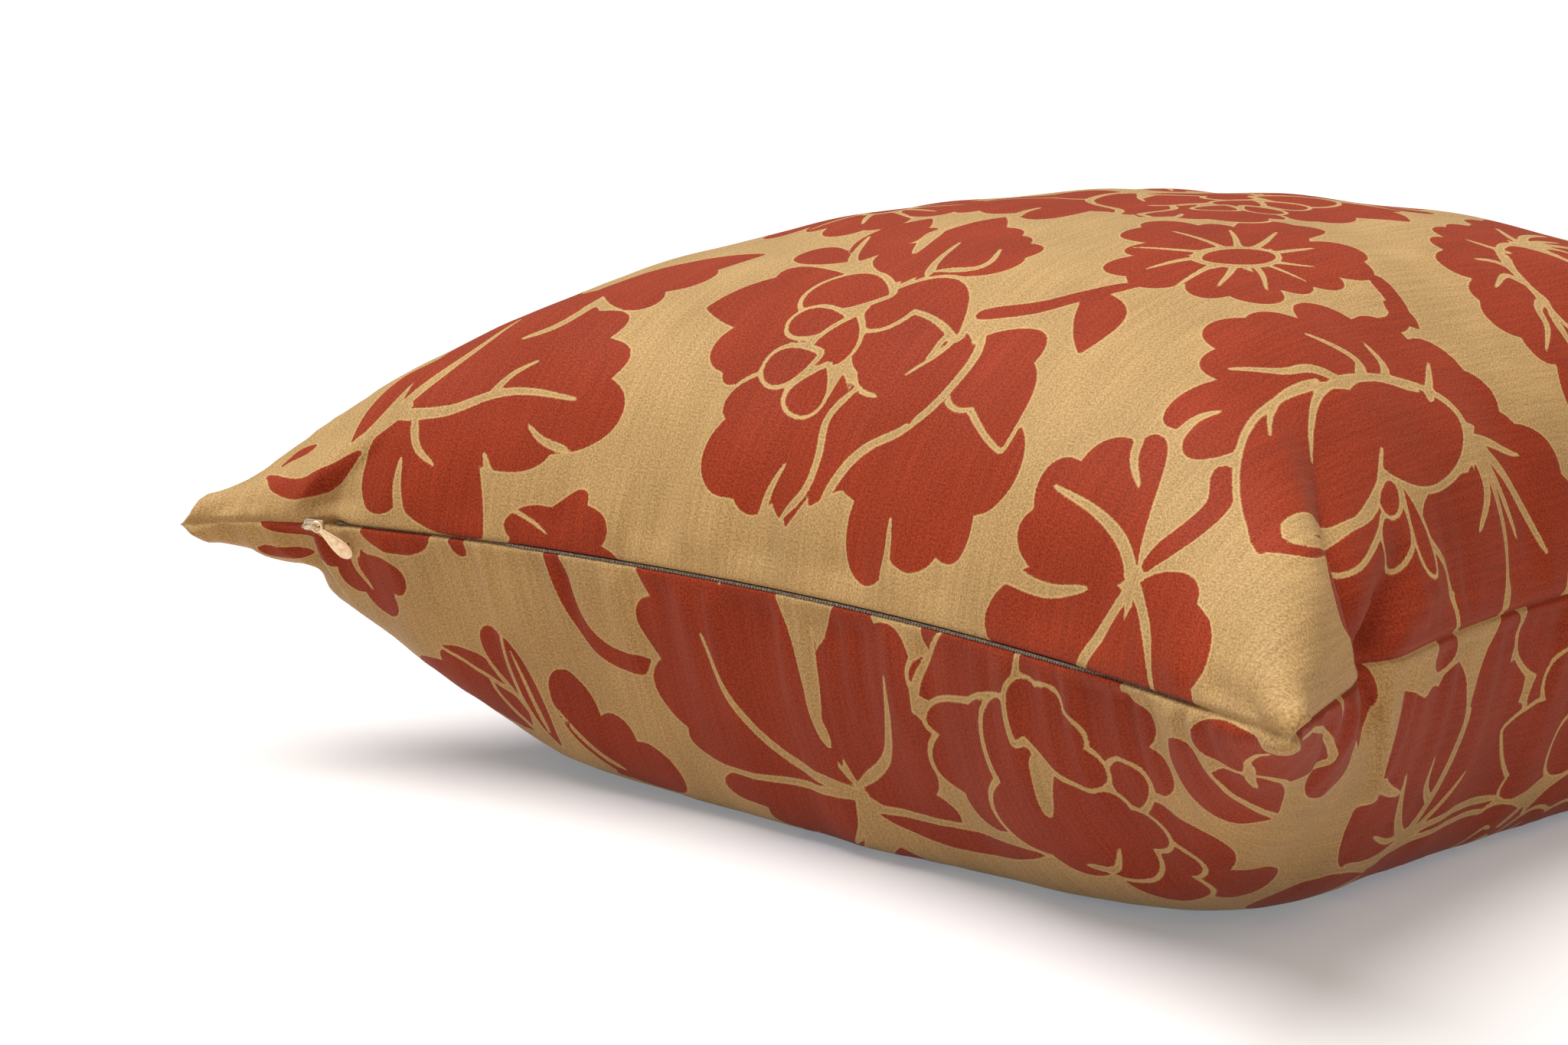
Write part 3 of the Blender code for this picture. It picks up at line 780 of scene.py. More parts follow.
BIG_LEAF = (
    ("petals", 0, (26, -163, -32, -156, 14), (26, -163, -18, -145, 16), (26, -162, 4, -140, 14)),
    ("petals", 2.6, (28, -167, -41, -172, 19, "lobe", 0.05), (26, -169, -50, -190, 28),
     (24, -171, -50, -212, 26), (22, -172, -44, -234, 28), (22, -174, -6, -238, 26),
     (24, -174, 13, -224, 16), (28, -170, 30, -214, 16), (29, -169, 44, -228, 24),
     (30, -168, 60, -222, 26), (30, -168, 67, -196, 22), (30, -167, 64, -181, 14),
     (30, -166, 66, -166, 15)),
    ("petals", 2.6, (32, -160, 97, -160, 9, "point", 0.06)),
    ("vein", 4.2, (30, -166), (1, -171), (-14, -186), (-23, -208)),
    ("vein", 4.2, (27, -168), (43, -180), (50, -194), (53, -208)),
    ("vein", 11.0, (12, -236), (18, -216), (20, -202), (20, -190)),
    ("line", 4.4, (20, -204), (19, -192), (21, -181)),
    ("vein", 3.6, (27, -166), (23, -154), (14, -143)),
)
BIG_LEAF_CENTRE = (20, -190)
ROSE = (
    ("petals", 0, (143, -170, 154, -132, 19), (142, -188, 157, -155, 20, "lobe", -0.1)),
    ("petals", 2.2, (130, -206, 163, -194, 19), (126, -208, 162, -214, 19), (122, -210, 150, -236, 24),
     (114, -208, 124, -240, 22)),
    ("petals", 2.2, (139, -180, 147, -198, 13)),
    ("petals", 2.2, (104, -208, 64, -210, 16), (104, -208, 72, -230, 24), (104, -210, 96, -238, 20)),
    ("vein", 3.4, (63, -200), (68, -212), (80, -227)),
    ("petals", 2.2, (106, -198, 76, -168, 20), (106, -200, 66, -181, 20), (106, -204, 67, -197, 12),
     (110, -208, 86, -202, 10)),
    ("petals", 2.2, (120, -178, 140, -143, 24, "lobe", 0.06), (124, -176, 150, -158, 14)),
    ("petals", 2.2, (116, -192, 90, -164, 24), (118, -190, 106, -154, 24), (122, -188, 126, -153, 24),
     (112, -176, 147, -172, 16), (110, -174, 138, -184, 15), (106, -172, 124, -191, 18),
     (102, -172, 103, -211, 21)),
    ("vein", 10.0, (114, -195), (112, -189), (109, -178)),
    ("petals", 2.0, (108, -203, 137, -193, 13), (106, -204, 133, -204, 13), (106, -204, 125, -214, 12),
     (106, -200, 114, -217, 12)),
    ("vein", 3.2, (110, -158), (119, -157), (125, -165)),
)
ROSE_CENTRE = (112, -178)
CORNER_ROSE = (
    ("petals", 0, (238, -148, 198, -134, 14, "point")),
    ("petals", 2.2, (238, -166, 191, -157, 28)),
    ("petals", 0, (244, -190, 203, -188, 30), (244, -206, 184, -217, 20)),
    ("petals", 2.4, (206, -170, 210, -212, 22)),
    ("petals", 2.2, (184, -169, 192, -205, 20)),
    ("petals", 2.2, (181, -168, 175, -214, 16, "lobe", -0.03)),
    ("vein", 4.0, (201, -208), (196, -200), (194, -194)),
)
SPRAY = (
    ("petals", 0, (-110, -158, -156, -173, 22), (-112, -160, -140, -184, 15)),
    ("petals", 2.0, (-112, -160, -118, -180, 12)),
    ("petals", 2.0, (-108, -172, -138, -187, 7, "point", 0.06)),
    ("petals", 2.0, (-108, -168, -116, -197, 13)),
    ("petals", 2.0, (-102, -154, -109, -195, 9, "point")),
    ("vein", 2.4, (-104, -160), (-106, -174), (-108, -190)),
    ("petals", 2.2, (-82, -148, -90, -186, 18), (-80, -148, -70, -173, 15), (-84, -146, -52, -158, 22)),
    ("vein", 2.8, (-78, -150), (-88, -160), (-96, -172)),
)
SPRIG = (
    ("petals", 0, (-159, -217, -157, -193, 14), (-160, -215, -144, -206, 12),
     (-163, -219, -169, -200, 11), (-168, -212, -173, -219, 8)),
    ("vein", 3.4, (-160, -221), (-164, -211), (-161, -202)),
    ("petals", 1.6, (-155, -223, -127, -226, 14, "oval"), (-117, -230, -117, -219, 6, "oval")),
    ("petals", 0, (-180, -227, -172, -209, 9), (-193, -226, -176, -220, 10, "oval"),
     (-201, -214, -187, -207, 8, "oval")),
)
ARC_STEM = (
    ("stem", 6.5, (-51, -193), (-66, -195), (-76, -206), (-81, -232)),
)
STAR_LEAF = (
    ("petals", 0, (160, -70, 170, -23, 22), (160, -70, 190, -28, 24), (162, -70, 207, -38, 24),
     (162, -70, 210, -53, 16), (176, -66, 226, -51, 20), (162, -75, 207, -77, 15),
     (162, -75, 216, -84, 20), (166, -78, 210, -100, 24), (162, -76, 214, -117, 28, "point"),
     (162, -78, 188, -106, 15), (158, -76, 178, -118, 23, "point", -0.05), (156, -76, 160, -104, 13),
     (156, -72, 150, -22, 15)),
    ("petals", 2.4, (152, -80, 138, -8, 26), (150, -84, 112, -40, 40), (148, -84, 140, -124, 20)),
    ("petals", 2.4, (198, 6, 224, -43, 26), (192, 8, 199, -30, 28), (184, 10, 180, -24, 20)),
    ("petals", 2.2, (232, -97, 215, -89, 12)),
    ("vein", 4.0, (152, -80), (163, -67), (178, -58)),
    ("line", 3.4, (156, -73), (180, -70), (199, -67)),
    ("vein", 3.0, (170, -71), (178, -78), (187, -80)),
    ("vein", 4.2, (157, -72), (168, -86), (185, -96)),
    ("vein", 3.0, (160, -73), (161, -86), (165, -96)),
    ("line", 3.0, (158, -76), (163, -52), (161, -26)),
    ("line", 2.8, (158, -76), (154, -90), (156, -102)),
    ("vein", 5.0, (187, -114), (182, -104), (179, -95)),
)

# Motifs of each panel. First those that stay where they are drawn, then those laid again:
# motif, its centre, where that goes, turn, size, and -1 where it is mirrored
FRONT_LAYOUT = (
    (FAN_LEAF,), (CURL,), (SEAM_LEAF,), (TIP_LEAF,), (BUD_STEM,), (PEONY,), (BLOSSOM,), (STEM_LEAF,),
    (TRIPLE_LEAF,), (SIDE_PEONY,),
    (PEONY, PEONY_CENTRE, (8, 12), 15, 0.9, -1),
    (SIDE_PEONY, SIDE_PEONY_CENTRE, (128, 44), 80, 0.8),
    (BLOSSOM, BLOSSOM_CENTRE, (-70, -50), 50),
    (SIDE_PEONY, SIDE_PEONY_CENTRE, (-150, -50), 190, 0.9),
    (PEONY, PEONY_CENTRE, (-140, 80), 200),
    (BLOSSOM, BLOSSOM_CENTRE, (-62, 70), 0),
    (BIG_LEAF, BIG_LEAF_CENTRE, (-90, 165), 160, 0.9),
    (TRIPLE_LEAF, TRIPLE_LEAF_CENTRE, (-190, 170), 120),
    (PEONY, PEONY_CENTRE, (20, 140), 250),
    (FAN_LEAF, FAN_LEAF_CENTRE, (110, 180), 170),
    (BLOSSOM, BLOSSOM_CENTRE, (195, 100), 30),
    (TRIPLE_LEAF, TRIPLE_LEAF_CENTRE, (190, 185), 210),
)
BACK_LAYOUT = (
    (SPRIG,), (SPRAY,), (ARC_STEM,), (BIG_LEAF,), (ROSE,), (CORNER_ROSE,), (STAR_LEAF,),
    (PEONY, PEONY_CENTRE, (185, 40), 90),
    (PEONY, PEONY_CENTRE, (-20, -75), 180),
    (SIDE_PEONY, SIDE_PEONY_CENTRE, (-160, -90), 150, 0.9),
    (BLOSSOM, BLOSSOM_CENTRE, (90, -90), 20),
    (SIDE_PEONY, SIDE_PEONY_CENTRE, (70, 10), 60, 0.9),
    (ROSE, ROSE_CENTRE, (-80, 30), 130),
    (TRIPLE_LEAF, TRIPLE_LEAF_CENTRE, (-180, 10), 200),
    (BIG_LEAF, BIG_LEAF_CENTRE, (-150, 120), 30),
    (BLOSSOM, BLOSSOM_CENTRE, (-60, 110), 0),
    (PEONY, PEONY_CENTRE, (30, 130), 300),
    (FAN_LEAF, FAN_LEAF_CENTRE, (150, 150), 60),
    (ROSE, ROSE_CENTRE, (-90, 195), 10),
)


def woven_pattern(layout):
    """Return the pattern of one panel."""
    pattern = Pattern()
    for row in layout:
        pattern.add_motif(*row)
    return pattern.ink


# Points that carry the cloth mesh, in mm: rings along the seams, points to a side of a ring,
# and the clearance between the last ring and the rest
RING_POINTS = 300
RING_INSETS = (0.0, 0.5, 0.9, 1.5, 2.5, 4.0, 6.0)
RING_CLEARANCE = 1.2

# Even rows: beside the edges of the figures, in a band along the seams, and in the open cloth.
# The rows lie closer than their points do, so that the triangles are even.
ROW_SHARE = 0.866
FINE_GRID = 1.9
FINE_FROM = 0.55 * FINE_GRID
FINE_REACH = 2.4
EDGE_GRID = 2.9
EDGE_BAND = 34.0
OPEN_GRID = 4.8
OPEN_CLEARANCE = 1.5

# Points on the edges of the figures, and in rows along the sharp creases
CROSSING_SPACING = 1.5
SHARP_CREASE = 5.5
CREASE_STEP = 1.4
CREASE_ROWS = (-6.0, -4.2, -2.6, -1.5, -0.7, 0.0, 0.7, 1.5, 2.6, 4.2, 6.0)
CREASE_SPACING = 0.65

# Edges that miss the pattern by more than an error, near its edges, are halved
REFINE_ROUNDS = 3
REFINE_ERROR = 0.28
REFINE_NEAR = 1.2
REFINE_LENGTH = 0.9
REFINE_SPACING = 0.55

# Places closer than the first are one point, and triangles under the second area are dropped
SAME_PLACE = 1e-7
FLAT_AREA = 1e-4


def ring(inset):
    """Return the points of a square ring round a panel, a little in from its edge."""
    reach = HALF_CLOTH - inset
    side = np.linspace(-reach, reach, RING_POINTS + 1)[:-1]
    full = np.full(RING_POINTS, reach)
    u = np.concatenate([side, full, -side, -full])
    v = np.concatenate([-full, side, full, -side])
    return np.stack([u, v], axis=1)


def within(points, reach):
    """Return which points lie inside a square."""
    return np.max(np.abs(points), axis=1) < reach


def even_rows(ink, step, reach):
    """Return points in offset rows in a square, and how far they are from the figures' edges."""
    rows = np.arange(-reach, reach + step, step * ROW_SHARE)
    points = []
    for number, row in enumerate(rows):
        across = np.arange(-reach + (number % 2) * step / 2, reach, step)
        points.append(np.stack([across, np.full(across.shape, row)], axis=1))
    points = np.concatenate(points)
    return points, np.abs(read_grid(ink, points[:, 0], points[:, 1]))


def pattern_edges(ink):
    """Return places where the pattern changes colour, along the raster's lines."""
    found = []
    for axis in (0, 1):
        first = ink[:-1] if axis == 0 else ink[:, :-1]
        second = ink[1:] if axis == 0 else ink[:, 1:]
        i, j = np.nonzero((first > 0) != (second > 0))
        share = first[i, j] / (first[i, j] - second[i, j])
        u = RASTER_AXIS[i] + (share * RASTER if axis == 0 else 0.0)
        v = RASTER_AXIS[j] + (share * RASTER if axis == 1 else 0.0)
        found.append(np.stack([u, v], axis=1))
    return np.concatenate(found)


def thinned(points, spacing, taken=None):
    """Return points that keep a distance from each other, and the cells that they take."""
    cells = {} if taken is None else taken
    kept = []
    for u, v in points.tolist():
        i = math.floor(u / spacing)
        j = math.floor(v / spacing)
        crowded = False
        for near_i in (i - 1, i, i + 1):
            for near_j in (j - 1, j, j + 1):
                for other in cells.get((near_i, near_j), ()):
                    if (other[0] - u) ** 2 + (other[1] - v) ** 2 < spacing * spacing:
                        crowded = True
        if not crowded:
            cells.setdefault((i, j), []).append((u, v))
            kept.append((u, v))
    return np.array(kept)


def triangles_of(points):
    """Return the triangles between points, all wound the same way."""
    places = [Vector(point) for point in points.tolist()]
    tris = np.array(geometry.delaunay_2d_cdt(places, [], [], 0, SAME_PLACE, False)[2], dtype=int)
    a, b, c = (points[tris[:, k]] for k in range(3))
    area = (b[:, 0] - a[:, 0]) * (c[:, 1] - a[:, 1]) - (b[:, 1] - a[:, 1]) * (c[:, 0] - a[:, 0])
    tris[area < 0] = tris[area < 0][:, ::-1]
    return tris[np.abs(area) > FLAT_AREA]


def edges_of(tris):
    """Return every edge of some triangles once."""
    edges = np.concatenate([tris[:, [0, 1]], tris[:, [1, 2]], tris[:, [2, 0]]])
    return np.unique(np.sort(edges, axis=1), axis=0)


def crease_points(panel):
    """Return points in rows along the sharp creases of a panel."""
    found = []
    for crease_panel, _, left, right, *knots in CREASES:
        if crease_panel != panel or min(left, right) > SHARP_CREASE:
            continue
        line = smooth_line([knot[:2] for knot in knots])
        steps = np.linalg.norm(np.diff(line, axis=0), axis=1)
        run = np.concatenate([[0.0], np.cumsum(steps)])
        stops = np.arange(0.0, run[-1], CREASE_STEP)
        middle = np.stack([np.interp(stops, run, line[:, k]) for k in (0, 1)], axis=1)
        ahead = unit(np.gradient(middle, axis=0))
        side = np.stack([-ahead[:, 1], ahead[:, 0]], axis=1)
        for offset in CREASE_ROWS:
            found.append(middle + offset * side)
    return np.concatenate(found)


def panel_mesh(panel, ink):
    """Return points, pattern distances and triangles of a panel in the flat cloth."""
    inner = HALF_CLOTH - RING_INSETS[-1] - RING_CLEARANCE
    deep = HALF_CLOTH - EDGE_BAND
    rings = np.concatenate([ring(inset) for inset in RING_INSETS])
    taken = {}
    crossings = pattern_edges(ink)
    crossings = thinned(crossings[within(crossings, inner)], CROSSING_SPACING)
    crossings = thinned(crossings, CREASE_SPACING, taken)
    folds = crease_points(panel)
    folds = thinned(folds[within(folds, inner)], CREASE_SPACING, taken)
    fine, away = even_rows(ink, FINE_GRID, inner)
    fine = fine[(away > FINE_FROM) & (away < FINE_REACH)]
    edge, away = even_rows(ink, EDGE_GRID, inner)
    edge = edge[~within(edge, deep) & (away >= FINE_REACH)]
    wide, away = even_rows(ink, OPEN_GRID, deep - OPEN_CLEARANCE)
    wide = wide[away >= FINE_REACH]
    points = np.concatenate([rings, crossings, folds, fine, edge, wide])
    values = read_grid(ink, points[:, 0], points[:, 1])
    values[len(rings):len(rings) + len(crossings)] = 0.0
    for _ in range(REFINE_ROUNDS):
        edges = edges_of(triangles_of(points))
        ends = points[edges]
        middle = ends.mean(axis=1)
        length = np.hypot(*(ends[:, 0] - ends[:, 1]).T)
        guess = values[edges].mean(axis=1)
        true = read_grid(ink, middle[:, 0], middle[:, 1])
        near = (np.abs(guess) < REFINE_NEAR) | (np.abs(true) < REFINE_NEAR)
        off = (np.abs(guess - true) > REFINE_ERROR) & near & (length > REFINE_LENGTH)
        off &= within(middle, HALF_CLOTH - RING_INSETS[1])
        extra = thinned(middle[off], REFINE_SPACING)
        if not len(extra):
            break
        points = np.concatenate([points, extra])
        values = np.concatenate([values, read_grid(ink, extra[:, 0], extra[:, 1])])
    return points, values, triangles_of(points)


def add_object(name, data):
    """Put data into the scene as an object."""
    thing = bpy.data.objects.new(name, data)
    bpy.context.scene.collection.objects.link(thing)
    return thing


def build_cushion():
    """Build the filled cover as one closed mesh that carries its pattern."""
    places = []
    tris = []
    inks = []
    lays = []
    edge_count = 4 * RING_POINTS
    for panel, layout in ((FRONT, FRONT_LAYOUT), (BACK, BACK_LAYOUT)):
        points, values, faces = panel_mesh(panel, woven_pattern(layout))
        spots = surface(panel, points[:, 0], points[:, 1])
        index = np.arange(len(points))
        if panel == BACK:
            faces = faces[:, ::-1]
            index = np.concatenate([index[:edge_count], index[edge_count:] - edge_count + len(places[0])])
            spots = spots[edge_count:]
        places.append(spots)
        tris.append(index[faces])
        inks.append(values[faces].ravel())
        lays.append(flat_lay(panel, points)[faces].reshape(-1, 2))
    mesh = bpy.data.meshes.new("cushion_cloth")
    mesh.from_pydata(np.concatenate(places).tolist(), [], np.concatenate(tris).tolist())
    lay = mesh.uv_layers.new(name="OFBake")
    lay.data.foreach_set("uv", np.concatenate(lays).ravel())
    ink = mesh.attributes.new("ink", "FLOAT", "CORNER")
    ink.data.foreach_set("value", np.concatenate(inks))
    mesh.shade_smooth()
    mesh.validate()
    thing = add_object("cushion_cloth", mesh)
    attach(thing, "root")
    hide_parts("cushion_cover")
    return thing


# Zip tape in its groove, in mm. Its section is across, in half heights, and out of the groove.
TAPE_STEP = 0.9
TAPE_HALF_HEIGHT = 0.42
TAPE_DEPTH = 0.80
TAPE_DEPTH_CLOSED = 1.9
TAPE_THICKNESS = 0.35
TAPE_SECTION = (
    (-1, 0), (-0.6, 0.1), (0, 0.14), (0.6, 0.1), (1, 0), (1, -TAPE_THICKNESS), (-1, -TAPE_THICKNESS),
)

# Coil of the closed teeth, in mm: its turns, how far it stands out of the tape and reaches out
# and up, its wire, and how far the wire's section leans
COIL_PITCH = 1.15
COIL_STEPS = 12
COIL_RISE = 0.12
COIL_OUT = 0.26
COIL_UP = 0.34
COIL_WIRE = 0.15
COIL_SIDES = 5
COIL_LEAN = 0.3

# Edges of the zip's small pieces that turn by more than this stay sharp, in degrees
SHARP_ANGLE = 50.0


def zip_rail(u):
    """Return places along the zip side's seam, and the directions along it, out and up."""
    p, _ = form_places(FRONT, u, np.full(u.shape, -HALF_CLOTH))
    x, y = outline_xy(p, np.full(p.shape, -1.0))
    places = np.stack([x, y, seam_height(p, -np.ones(p.shape))], axis=1)
    places = places + pinch_shift(FRONT, u, np.full(u.shape, -HALF_CLOTH))
    along = unit(np.gradient(places, axis=0))
    out = unit(np.cross(along, (0.0, 0.0, 1.0)))
    return places, along, out, np.cross(out, along)


def tube(places, first, second, sides):
    """Return a ring of points round each place, from the two half axes of the rings."""
    turns = 2.0 * math.pi * np.arange(sides) / sides
    spread = first[:, None] * np.cos(turns)[:, None] + second[:, None] * np.sin(turns)[:, None]
    return places[:, None] + spread


def swept(rows):
    """Return the vertices and faces of a closed body through equal rings of points."""
    count, sides = rows.shape[:2]
    index = np.arange(count * sides).reshape(count, sides)
    beside = np.roll(index, -1, axis=1)
    faces = np.stack([index[:-1], beside[:-1], beside[1:], index[1:]], axis=-1).reshape(-1, 4).tolist()
    return rows.reshape(-1, 3), faces + [index[0, ::-1].tolist(), index[-1].tolist()]


def joined_mesh(name, bodies):
    """Make one smooth mesh object of several closed bodies."""
    places = []
    faces = []
    first = 0
    for body_places, body_faces in bodies:
        places.append(body_places)
        faces += [[first + number for number in face] for face in body_faces]
        first += len(body_places)
    mesh = bpy.data.meshes.new(name)
    mesh.from_pydata(np.concatenate(places).tolist(), [], faces)
    shape = bmesh.new()
    shape.from_mesh(mesh)
    bmesh.ops.recalc_face_normals(shape, faces=shape.faces)
    shape.to_mesh(mesh)
    shape.free()
    mesh.shade_smooth()
    mesh.set_sharp_from_angle(angle=math.radians(SHARP_ANGLE))
    return add_object(name, mesh)


def zip_ends():
    """Return where the zip starts and ends in the cloth, in mm."""
    u = np.arange(-HALF_CLOTH + 1.0, HALF_CLOTH, 1.0)
    p, _ = form_places(FRONT, u, np.full(u.shape, -HALF_CLOTH))
    inside = u[(p > ZIP_FROM + GROOVE_FADE) & (p < ZIP_TO - GROOVE_FADE)]
    return inside[0], inside[-1]


def tape_depth(u):
    """Return how deep the tape lies in the groove, in mm."""
    return TAPE_DEPTH_CLOSED + (TAPE_DEPTH - TAPE_DEPTH_CLOSED) * teeth_share(u)


def build_zip_tape():
    """Build the zip's tape and closed teeth, which lie sunk between the lips of the seam."""
    start, end = zip_ends()
    u = np.arange(start, end, TAPE_STEP)
    places, _, out, up = zip_rail(u)
    rows = []
    for across, rise in TAPE_SECTION:
        shift = up * (across * TAPE_HALF_HEIGHT * MM) + out * ((rise - tape_depth(u)) * MM)[:, None]
        rows.append(places + shift)
    tape = swept(np.stack(rows, axis=1))
    turns = (end - start) / COIL_PITCH
    count = int(turns * COIL_STEPS)
    u = np.linspace(start, end, count)
    places, along, out, up = zip_rail(u)
    turn = np.linspace(0.0, turns * 2.0 * math.pi, count)
    middle = places + up * (COIL_UP * MM * np.sin(turn))[:, None]
    middle = middle + out * ((COIL_OUT * np.cos(turn) - tape_depth(u) + COIL_RISE) * MM)[:, None]
    ahead = unit(np.gradient(middle, axis=0))
    side = unit(np.cross(ahead, along + COIL_LEAN * out))
    wire = COIL_WIRE * MM
    coil = swept(tube(middle, wire * side, wire * np.cross(ahead, side), COIL_SIDES))
    thing = joined_mesh("zip_tape_and_teeth", [tape, coil])
    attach(thing, "root")
    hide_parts("zip_tape")
    return thing


# Pull of the slider, in mm: its wire eye and its drop-shaped body, which starts inside the eye.
# The neck is a share of the width, and the widest place is a share of the length.
PULL_EYE_RADIUS = 1.55
PULL_EYE_WIRE = 0.42
PULL_EYE_SIDES = 10
PULL_OVERLAP = 0.15
PULL_SIDES = 24
PULL_STEPS = 26
PULL_HALF_WIDTH = 2.45
PULL_HALF_THICKNESS = 0.62
PULL_NECK = 0.36
PULL_NECK_POWER = 1.5
PULL_WIDEST = 0.72

# The pull's thickness: its share at the neck, how squarely it ends, and the least shares of
# width and thickness at the very tip
PULL_NECK_THICKNESS = 0.75
PULL_TIP_POWER = 0.7
PULL_TIP_WIDTH = 0.02
PULL_TIP_THICKNESS = 0.03


def long_axes(node):
    """Return the middle of a node, its axes from longest to thinnest, and its length."""
    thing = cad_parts[node]
    places = np.array([tuple(thing.matrix_world @ vert.co) for vert in thing.data.vertices])
    middle = places.mean(axis=0)
    _, _, axes = np.linalg.svd(places - middle)
    reach = (places - middle) @ axes[0]
    return middle + axes[0] * (reach.max() + reach.min()) / 2, axes, reach.max() - reach.min()


def build_pull():
    """Build the pull as a wire eye that widens into a smooth, slightly domed drop."""
    middle, axes, length = long_axes("zip_pull")
    slider_low, slider_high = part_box("zip_slider")
    to_slider = (np.array(slider_low) + np.array(slider_high)) / 2 - middle
    along = axes[0] if axes[0] @ to_slider < 0 else -axes[0]
    across = axes[1]
    facing = np.cross(along, across)
    eye = middle - along * (length / 2 - (PULL_EYE_RADIUS + PULL_EYE_WIRE) * MM)
    angles = 2.0 * math.pi * np.arange(PULL_SIDES + 1)[:, None] / PULL_SIDES
    spokes = along * np.cos(angles) + across * np.sin(angles)
    wire = PULL_EYE_WIRE * MM
    facings = np.broadcast_to(facing, spokes.shape)
    round_eye = eye + spokes * PULL_EYE_RADIUS * MM
    eye_body = swept(tube(round_eye, spokes * wire, facings * wire, PULL_EYE_SIDES))
    start = (PULL_EYE_RADIUS - PULL_OVERLAP) * MM
    run = length - (PULL_EYE_RADIUS + PULL_EYE_WIRE) * MM - start
    share = 0.5 - 0.5 * np.cos(math.pi * np.arange(PULL_STEPS + 1)[:, None] / PULL_STEPS)
    rise = np.sin(0.5 * math.pi * np.minimum(1.0, share / PULL_WIDEST))
    shoulder = PULL_NECK + (1.0 - PULL_NECK) * rise ** PULL_NECK_POWER
    past = np.maximum(0.0, share - PULL_WIDEST) / (1.0 - PULL_WIDEST)
    tip = np.sqrt(np.maximum(0.0, 1.0 - past ** 2))
    width = PULL_HALF_WIDTH * MM * shoulder * np.maximum(tip, PULL_TIP_WIDTH)
    dome = PULL_NECK_THICKNESS + (1.0 - PULL_NECK_THICKNESS) * shoulder
    thickness = PULL_HALF_THICKNESS * MM * dome * np.maximum(tip ** PULL_TIP_POWER, PULL_TIP_THICKNESS)
    drop = swept(tube(eye + along * (start + share * run), across * width, facing * thickness, PULL_SIDES))
    thing = joined_mesh("zip_pull_drop", [eye_body, drop])
    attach(thing, "root")
    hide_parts("zip_pull")
    return thing


# How the two flat panels share the unit square: size of one, and where each starts
LAY_SIZE = 0.485
LAY_STARTS = {FRONT: (0.005, 0.5075), BACK: (0.51, 0.0075)}


def flat_lay(panel, points):
    """Return where places in the cloth lie in the unit square, both panels side by side."""
    return np.array(LAY_STARTS[panel]) + (points / (2 * HALF_CLOTH) + 0.5) * LAY_SIZE


def new_material(name):
    """Return a node material with its tree and its shader."""
    material = bpy.data.materials.new(name)
    material.use_nodes = True
    tree = material.node_tree
    return material, tree, tree.nodes["Principled BSDF"]


def feed(tree, socket, value):
    """Link a value to a socket, or set it there."""
    if isinstance(value, bpy.types.NodeSocket):
        tree.links.new(value, socket)
    else:
        socket.default_value = value


def add_node(tree, kind, settings=(), **inputs):
    """Add a node with some settings and inputs, which are named, or numbered as i0, i1 and so on."""
    node = tree.nodes.new(kind)
    for name, value in settings:
        setattr(node, name, value)
    for name, value in inputs.items():
        feed(tree, node.inputs[int(name[1:]) if name[1:].isdigit() else name], value)
    return node


def set_inputs(shader, values):
    """Set constants on a shader's own sockets."""
    for name, value in values.items():
        shader.inputs[name].default_value = value


def added(tree, first, second):
    """Return the sum of two values."""
    return add_node(tree, "ShaderNodeMath", (("operation", "ADD"),), i0=first, i1=second).outputs[0]


def scaled(tree, value, factor, plus=0.0):
    """Return a value times a factor, plus another value."""
    settings = (("operation", "MULTIPLY_ADD"),)
    return add_node(tree, "ShaderNodeMath", settings, i0=value, i1=factor, i2=plus).outputs[0]


def mixed(tree, share, first, second):
    """Return a mix of two colours."""
    settings = (("data_type", "RGBA"),)
    return add_node(tree, "ShaderNodeMix", settings, i0=share, i6=first, i7=second).outputs[2]


def noise(tree, place, scale, detail=2.0, roughness=0.5):
    """Return a noise value."""
    inputs = {"Vector": place, "Scale": scale, "Detail": detail, "Roughness": roughness}
    return add_node(tree, "ShaderNodeTexNoise", **inputs).outputs["Fac"]


def stretched(tree, place, scale):
    """Return places scaled apart along their axes."""
    return add_node(tree, "ShaderNodeMapping", Vector=place, Scale=scale).outputs["Vector"]


def ranged(tree, value, low, high, to_low=0.0, to_high=1.0):
    """Return a value moved from one range to another, kept inside it."""
    inputs = {"i0": value, "i1": low, "i2": high, "i3": to_low, "i4": to_high}
    return add_node(tree, "ShaderNodeMapRange", **inputs).outputs[0]


def link_surface(tree, shader, colour, rough, height, depth, strength):
    """Link a material's colour, roughness and relief to its shader. The depth is in mm."""
    tree.links.new(colour, shader.inputs["Base Color"])
    tree.links.new(rough, shader.inputs["Roughness"])
    bump = add_node(tree, "ShaderNodeBump", Height=height, Distance=depth * MM, Strength=strength)
    tree.links.new(bump.outputs[0], shader.inputs["Normal"])


# Colours of the cloth's threads, lit and in the shade between them
GOLD = (0.49, 0.292, 0.112, 1.0)
GOLD_EDGE = (0.54, 0.325, 0.115, 1.0)
GOLD_DARK = (0.255, 0.137, 0.045, 1.0)
RED = (0.32, 0.040, 0.012, 1.0)
RED_DARK = (0.150, 0.015, 0.005, 1.0)

# Edge of the red figures, in mm: how ragged it is, how softly it changes, and how far outside
# it the line of brighter gold threads runs and how much it shows
EDGE_RAG = 0.7
EDGE_SOFT = 0.16
EDGE_LINE = 0.35
EDGE_SHARE = 0.6

# Grain, slubs and the clouds in the tone: where each noise is cut off, low and high, and the
# stretch of the slubs
GRAIN_CUT = (0.36, 0.64)
SLUB_CUT = (0.40, 0.64)
SLUB_STRETCH = (0.75, 0.03, 1.0)
CLOUD_RANGE = (0.3, 0.7, 0.93, 1.07)

